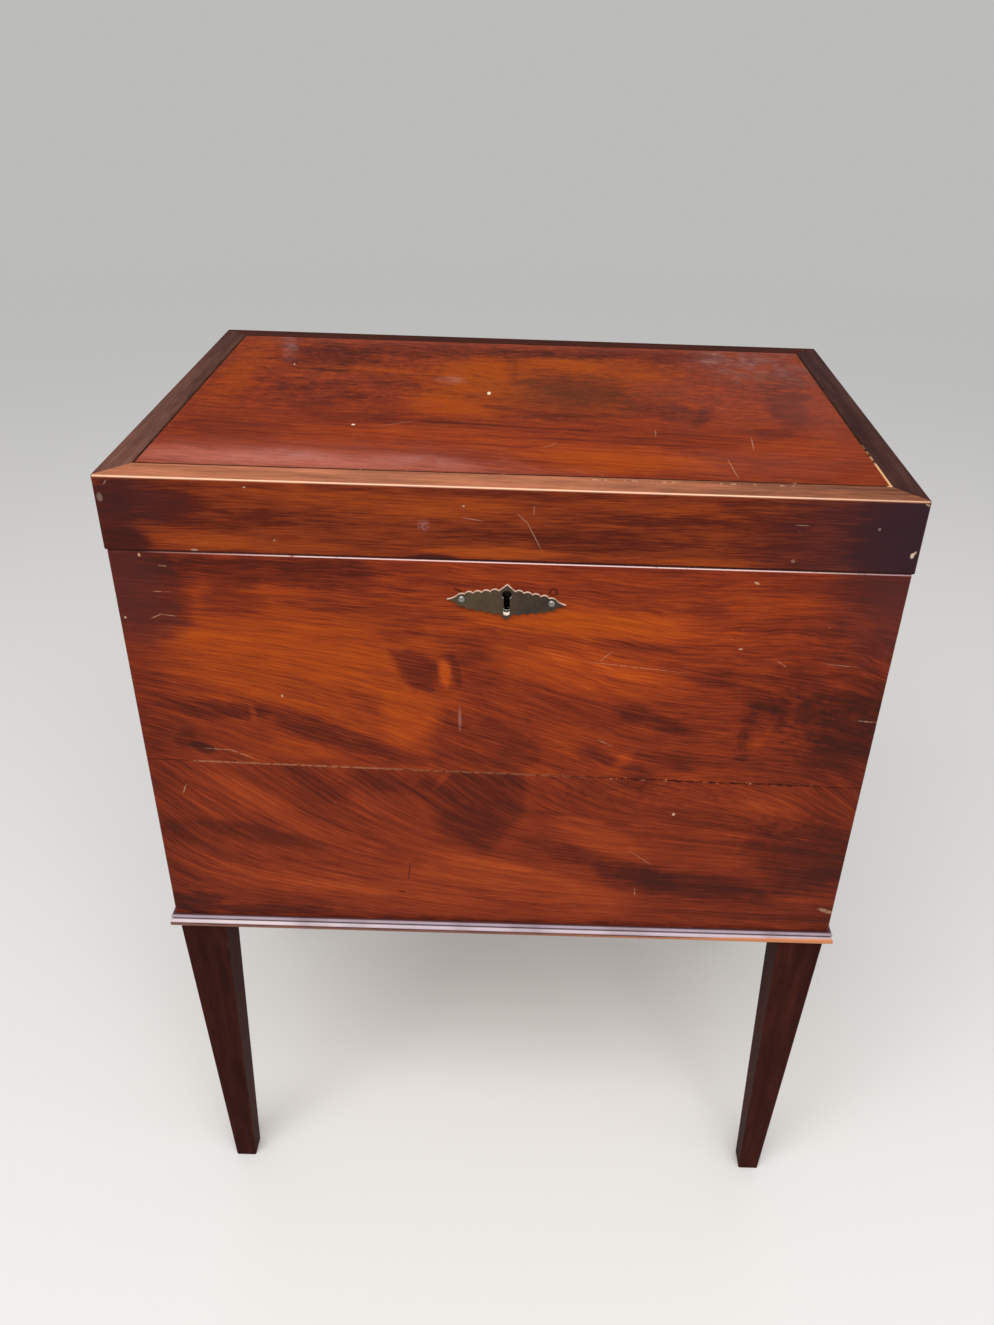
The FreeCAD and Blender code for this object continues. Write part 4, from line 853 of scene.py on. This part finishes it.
# ---- Metal
def metal(name, tones, pale_edge, shine, edge=0.5, bright=1.0, rust=0.0):
    """Old metal: blotched tones, fine marks and edges rubbed to a brighter colour."""
    finish = Finish(name)
    x, y, z = finish.axes
    blotch = finish.patches(9.0, 5.0, 0.62)
    fine = finish.noise(x / 0.8, y / 0.8, z / 5.0)
    finish.ground(blotch * 0.8 + fine * 0.2, *scale(tones, 0.32, 0.68))
    wear = (finish.edge_wear(edge) * bright + fine.ease(0.66, 0.76) * 0.15).least(1.0)
    finish.paint(wear, pale_edge)
    gleam = 0.92
    if rust:
        eaten = finish.patches(3.0, 5.0, 0.65).ease(0.56, 0.66) * rust
        finish.paint(eaten, srgb(74, 40, 26))
        gleam = gleam - eaten * 0.7
    roughness = blotch * 0.30 + shine - wear * 0.08
    return finish.surface(roughness, fine * 0.4 + blotch, depth=0.06, radius=edge, metallic=gleam)


def lining_finish():
    """The lining of the keyhole: painted dark as shade inside the hole, with a painted pool of light on its
    sill.
    """
    finish = Finish("keyhole_brass")
    y, z = finish.y, finish.z
    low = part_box("keyhole_lining")[0] / MM
    worn = finish.patches(3.0)
    groove = abs(y - (low.y + 2.6)).ease(1.3, 0.7)
    # painted pool of light: the sill near the front, painted near white and crossed by a dark groove
    bright = z.ease(low.z + 3.4, low.z + 2.0) * (1.0 - groove * 0.9) * worn.ease(0.20, 0.34)
    # painted shade: the lining painted near black, as the inside of the hole
    finish.ground(worn, (0.3, srgb(24, 20, 16)), (0.7, srgb(52, 44, 34)))
    finish.paint(bright, srgb(240, 234, 218))
    return finish.surface(0.5 - bright * 0.1, worn, depth=0.04, radius=0.3, metallic=0.6 - bright * 0.6)


def plate_finish():
    """The escutcheon: olive to grey-brown patina, with a painted highlight on its upward-facing edges and
    painted shade on its downward-facing ones.
    """
    finish = Finish("plate_patina")
    x, y, z = finish.axes
    blotch = finish.noise(x / 12.0, y / 12.0, z / 7.0, 5.0, 0.6)
    brushed = finish.noise(x / 0.7, y / 3.0, z / 9.0)
    tone = blotch * 0.5 + brushed * 0.20 + x.ease(14.0, -14.0) * 0.22
    finish.ground(tone, (0.28, srgb(60, 50, 44)), (0.50, srgb(80, 66, 52)), (0.78, srgb(98, 84, 54)))
    facing = finish.node("ShaderNodeNewGeometry").outputs["Normal"]
    tilt = Field(finish, finish.node("ShaderNodeSeparateXYZ", None, {0: facing}).outputs[2])
    # painted highlight on the faces that turn upward
    wear = tilt.ease(0.12, 0.45) * blotch.ease(0.30, 0.44)
    bright = (wear * 0.95 + brushed.ease(0.68, 0.80) * 0.10).least(1.0)
    finish.paint(bright, srgb(238, 212, 190))
    # painted shade on the faces that turn downward
    finish.paint(tilt.ease(-0.15, -0.5) * 0.6, srgb(36, 26, 20))
    roughness = blotch * 0.24 + 0.36 + wear * 0.1
    height = brushed * 0.5 + blotch
    return finish.surface(roughness, height, depth=0.05, radius=0.3, metallic=0.85 - wear * 0.5)


# ---- Pieces made here
KEYHOLE_REACH = 9.0 * MM  # edges nearer the plate's middle than this are the keyhole's
PIN_CLEAR = 3.0 * MM  # and nearer a pin's middle than this, its hole's
PIN_HEAD = 2.4 * MM  # radius of a pin's head in the solids


def shape_of(node):
    """A merged copy of a node's mesh, with its flat faces whole again."""
    form = bmesh.new()
    form.from_mesh(nodes[node].data)
    bmesh.ops.remove_doubles(form, verts=form.verts, dist=1e-6)
    bmesh.ops.dissolve_limit(form, angle_limit=math.radians(0.5), verts=form.verts, edges=form.edges)
    return form


def place_piece(form, name, body, stands_for, material, sharp):
    """Turn a form into a named piece that rides on a body and stands for nodes; sharp is in degrees."""
    bmesh.ops.recalc_face_normals(form, faces=form.faces)
    mesh = bpy.data.meshes.new(name)
    form.to_mesh(mesh)
    form.free()
    mesh.shade_smooth()
    mesh.set_sharp_from_angle(angle=math.radians(sharp))
    piece = bpy.data.objects.new(name, mesh)
    bpy.context.scene.collection.objects.link(piece)
    mesh.materials.append(material)
    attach(piece, body)
    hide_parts(*stands_for)


def make_plate(material):
    """The escutcheon with its front edge rounded over."""
    form = shape_of("escutcheon")
    low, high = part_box("escutcheon")
    front = [edge for edge in form.edges if all(abs(v.co.y - low.y) < 1e-6 for v in edge.verts)]
    middle = (low + high) / 2
    rim = [edge for edge in front
           if max(abs(v.co.x - middle.x) for v in edge.verts) > KEYHOLE_REACH
           or max(abs(v.co.z - middle.z) for v in edge.verts) > KEYHOLE_REACH]
    holes = [pin_place(across) for across in (-1, 1)]
    rim = [edge for edge in rim if all((edge.verts[0].co - hole).length > PIN_CLEAR for hole in holes)]
    bmesh.ops.bevel(form, geom=rim, offset=0.8 * MM, segments=3, profile=0.5, material=-1,
                    affect="EDGES", clamp_overlap=True)
    place_piece(form, "scalloped_plate", "carcase", ["escutcheon"], material, 35)


def pin_place(across):
    """Where a pin's head sits on the plate's front: low on the right, for 1, or high on the left."""
    low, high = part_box("escutcheon_pins")
    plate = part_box("escutcheon")[0].y
    if across > 0:
        return Vector((high.x - PIN_HEAD, plate, low.z + PIN_HEAD))
    return Vector((low.x + PIN_HEAD, plate, high.z - PIN_HEAD))


def make_pins(material):
    """Two round-headed pins, spun smooth."""
    form = bmesh.new()
    radius, height, shank, length = 2.38 * MM, 1.48 * MM, 0.88 * MM, 8.9 * MM
    steps = 7
    for across in (-1, 1):
        place = pin_place(across)
        angles = [math.pi / 2 * step / steps for step in range(steps + 1)]
        arc = [(radius * math.cos(angle), -height * math.sin(angle)) for angle in angles]
        outline = arc[::-1] + [(shank, 0.0), (shank, length * 0.85), (0.0, length)]
        verts = [form.verts.new(place + Vector((out, back, 0.0))) for out, back in outline]
        edges = [form.edges.new(pair) for pair in zip(verts, verts[1:])]
        bmesh.ops.spin(form, geom=verts + edges, cent=place, axis=(0.0, 1.0, 0.0), angle=2 * math.pi,
                       steps=24, use_merge=True)
    bmesh.ops.remove_doubles(form, verts=form.verts, dist=1e-6)
    place_piece(form, "round_headed_pins", "carcase", ["escutcheon_pins"], material, 40)


# ---- Every node gets its finish
def dress(finishes):
    """Give each node the finish whose list names it."""
    for material, names in finishes:
        for name in names:
            mesh = nodes[name].data
            mesh.materials.clear()
            mesh.materials.append(material)


set_camera()
set_studio()

dark_tones = (srgb(26, 11, 9), srgb(54, 25, 20), srgb(82, 38, 30))
side_tones = (EMBER, SHADE, RUSSET, COPPER)
pine_tones = (srgb(122, 84, 52), srgb(168, 124, 80), srgb(196, 154, 104))
inner_tones = (srgb(84, 46, 28), srgb(126, 74, 44), srgb(158, 100, 62))
brass_tones = (srgb(120, 92, 48), srgb(168, 132, 70), srgb(196, 160, 92))
lock_tones = (srgb(32, 29, 27), srgb(60, 55, 50), srgb(92, 86, 78))
steel_tones = (srgb(66, 62, 58), srgb(104, 100, 95), srgb(138, 134, 128))
iron_tones = (srgb(30, 24, 22), srgb(58, 46, 40))
pin_tones = (srgb(96, 94, 90), srgb(132, 130, 124), srgb(160, 157, 150))
RUBBED_BRASS = srgb(236, 206, 140)
RUBBED_STEEL = srgb(196, 192, 186)

dress([
    (figured_front(True), ["front_veneer_upper"]),
    (figured_front(False), ["front_veneer_lower"]),
    (plain_mahogany("side_veneer", "y", side_tones, worn_edges=0.3, seed=1.0), ["left_side_veneer"]),
    (plain_mahogany("side_veneer_right", "y", side_tones, worn_edges=0.3, seed=2.0), ["right_side_veneer"]),
    (figured_lid(), ["lid_veneer"]),
    (lid_front(), ["lid_front_rail"]),
    (plain_mahogany("lid_left_rail", "y", side_tones, seed=3.0), ["lid_left_rail"]),
    (plain_mahogany("lid_right_rail", "y", side_tones, seed=4.0), ["lid_right_rail"]),
    (plain_mahogany("lid_back_rail", "x", side_tones, shine=0.4, seed=5.0), ["lid_back_rail"]),
    *[(crossband(side), [f"{side}_crossband"]) for side in CROSSBAND_TONES],
    (inlaid_line(), ["stringing"]),
    *[(moulding(side), [f"base_moulding_{side}"]) for side in ("front", "left", "right")],
    (plain_mahogany("stand_back_rail", "x", dark_tones, seed=6.0), ["base_rail_back"]),
    (plain_mahogany("leg", "z", dark_tones, shine=0.36, worn_edges=0.2, seed=7.0, polish=LEG_POLISH),
     ["front_left_leg", "front_right_leg", "back_left_leg", "back_right_leg"]),
    (plain_mahogany("back_board", "x", side_tones, shine=0.42, seed=8.0), ["back_board"]),
    (bare_wood("front_pine", "x", pine_tones, seed=1.0), ["front_board_lower", "front_board_upper"]),
    (bare_wood("side_pine", "y", pine_tones, seed=2.0), ["left_side_board", "right_side_board"]),
    (bare_wood("flat_pine", "x", pine_tones, seed=3.0), ["bottom_board", "lid_board"]),
    (bare_wood("long_division", "x", inner_tones, seed=4.0), ["long_division_1", "long_division_2"]),
    (bare_wood("cross_division", "y", inner_tones, seed=5.0),
     ["cross_division_1", "cross_division_2", "cross_division_3"]),
    (lining_finish(), ["keyhole_lining"]),
    (metal("old_brass", brass_tones, RUBBED_BRASS, shine=0.24),
     ["left_hinge_lower_leaf", "left_hinge_upper_leaf", "right_hinge_lower_leaf",
      "right_hinge_upper_leaf", "hinge_pins", "link_plate"]),
    (metal("screw_steel", steel_tones, RUBBED_STEEL, shine=0.28, edge=0.3, bright=0.8, rust=0.25),
     ["hinge_lower_screws", "hinge_upper_screws", "lock_screws", "link_plate_screws"]),
    (metal("lock_steel", lock_tones, RUBBED_STEEL, shine=0.30, edge=0.4, bright=0.7, rust=0.35),
     ["lock_case", "lock_cap", "drill_pin", "lock_bolt"]),
    (metal("nail_iron", iron_tones, srgb(96, 84, 76), shine=0.5, bright=0.4, rust=0.6), ["stand_nails"]),
])
make_plate(plate_finish())
make_pins(metal("pin_metal", pin_tones, srgb(214, 210, 204), shine=0.22, edge=0.3, bright=0.5))

bpy.context.scene.view_settings.view_transform = "Standard"
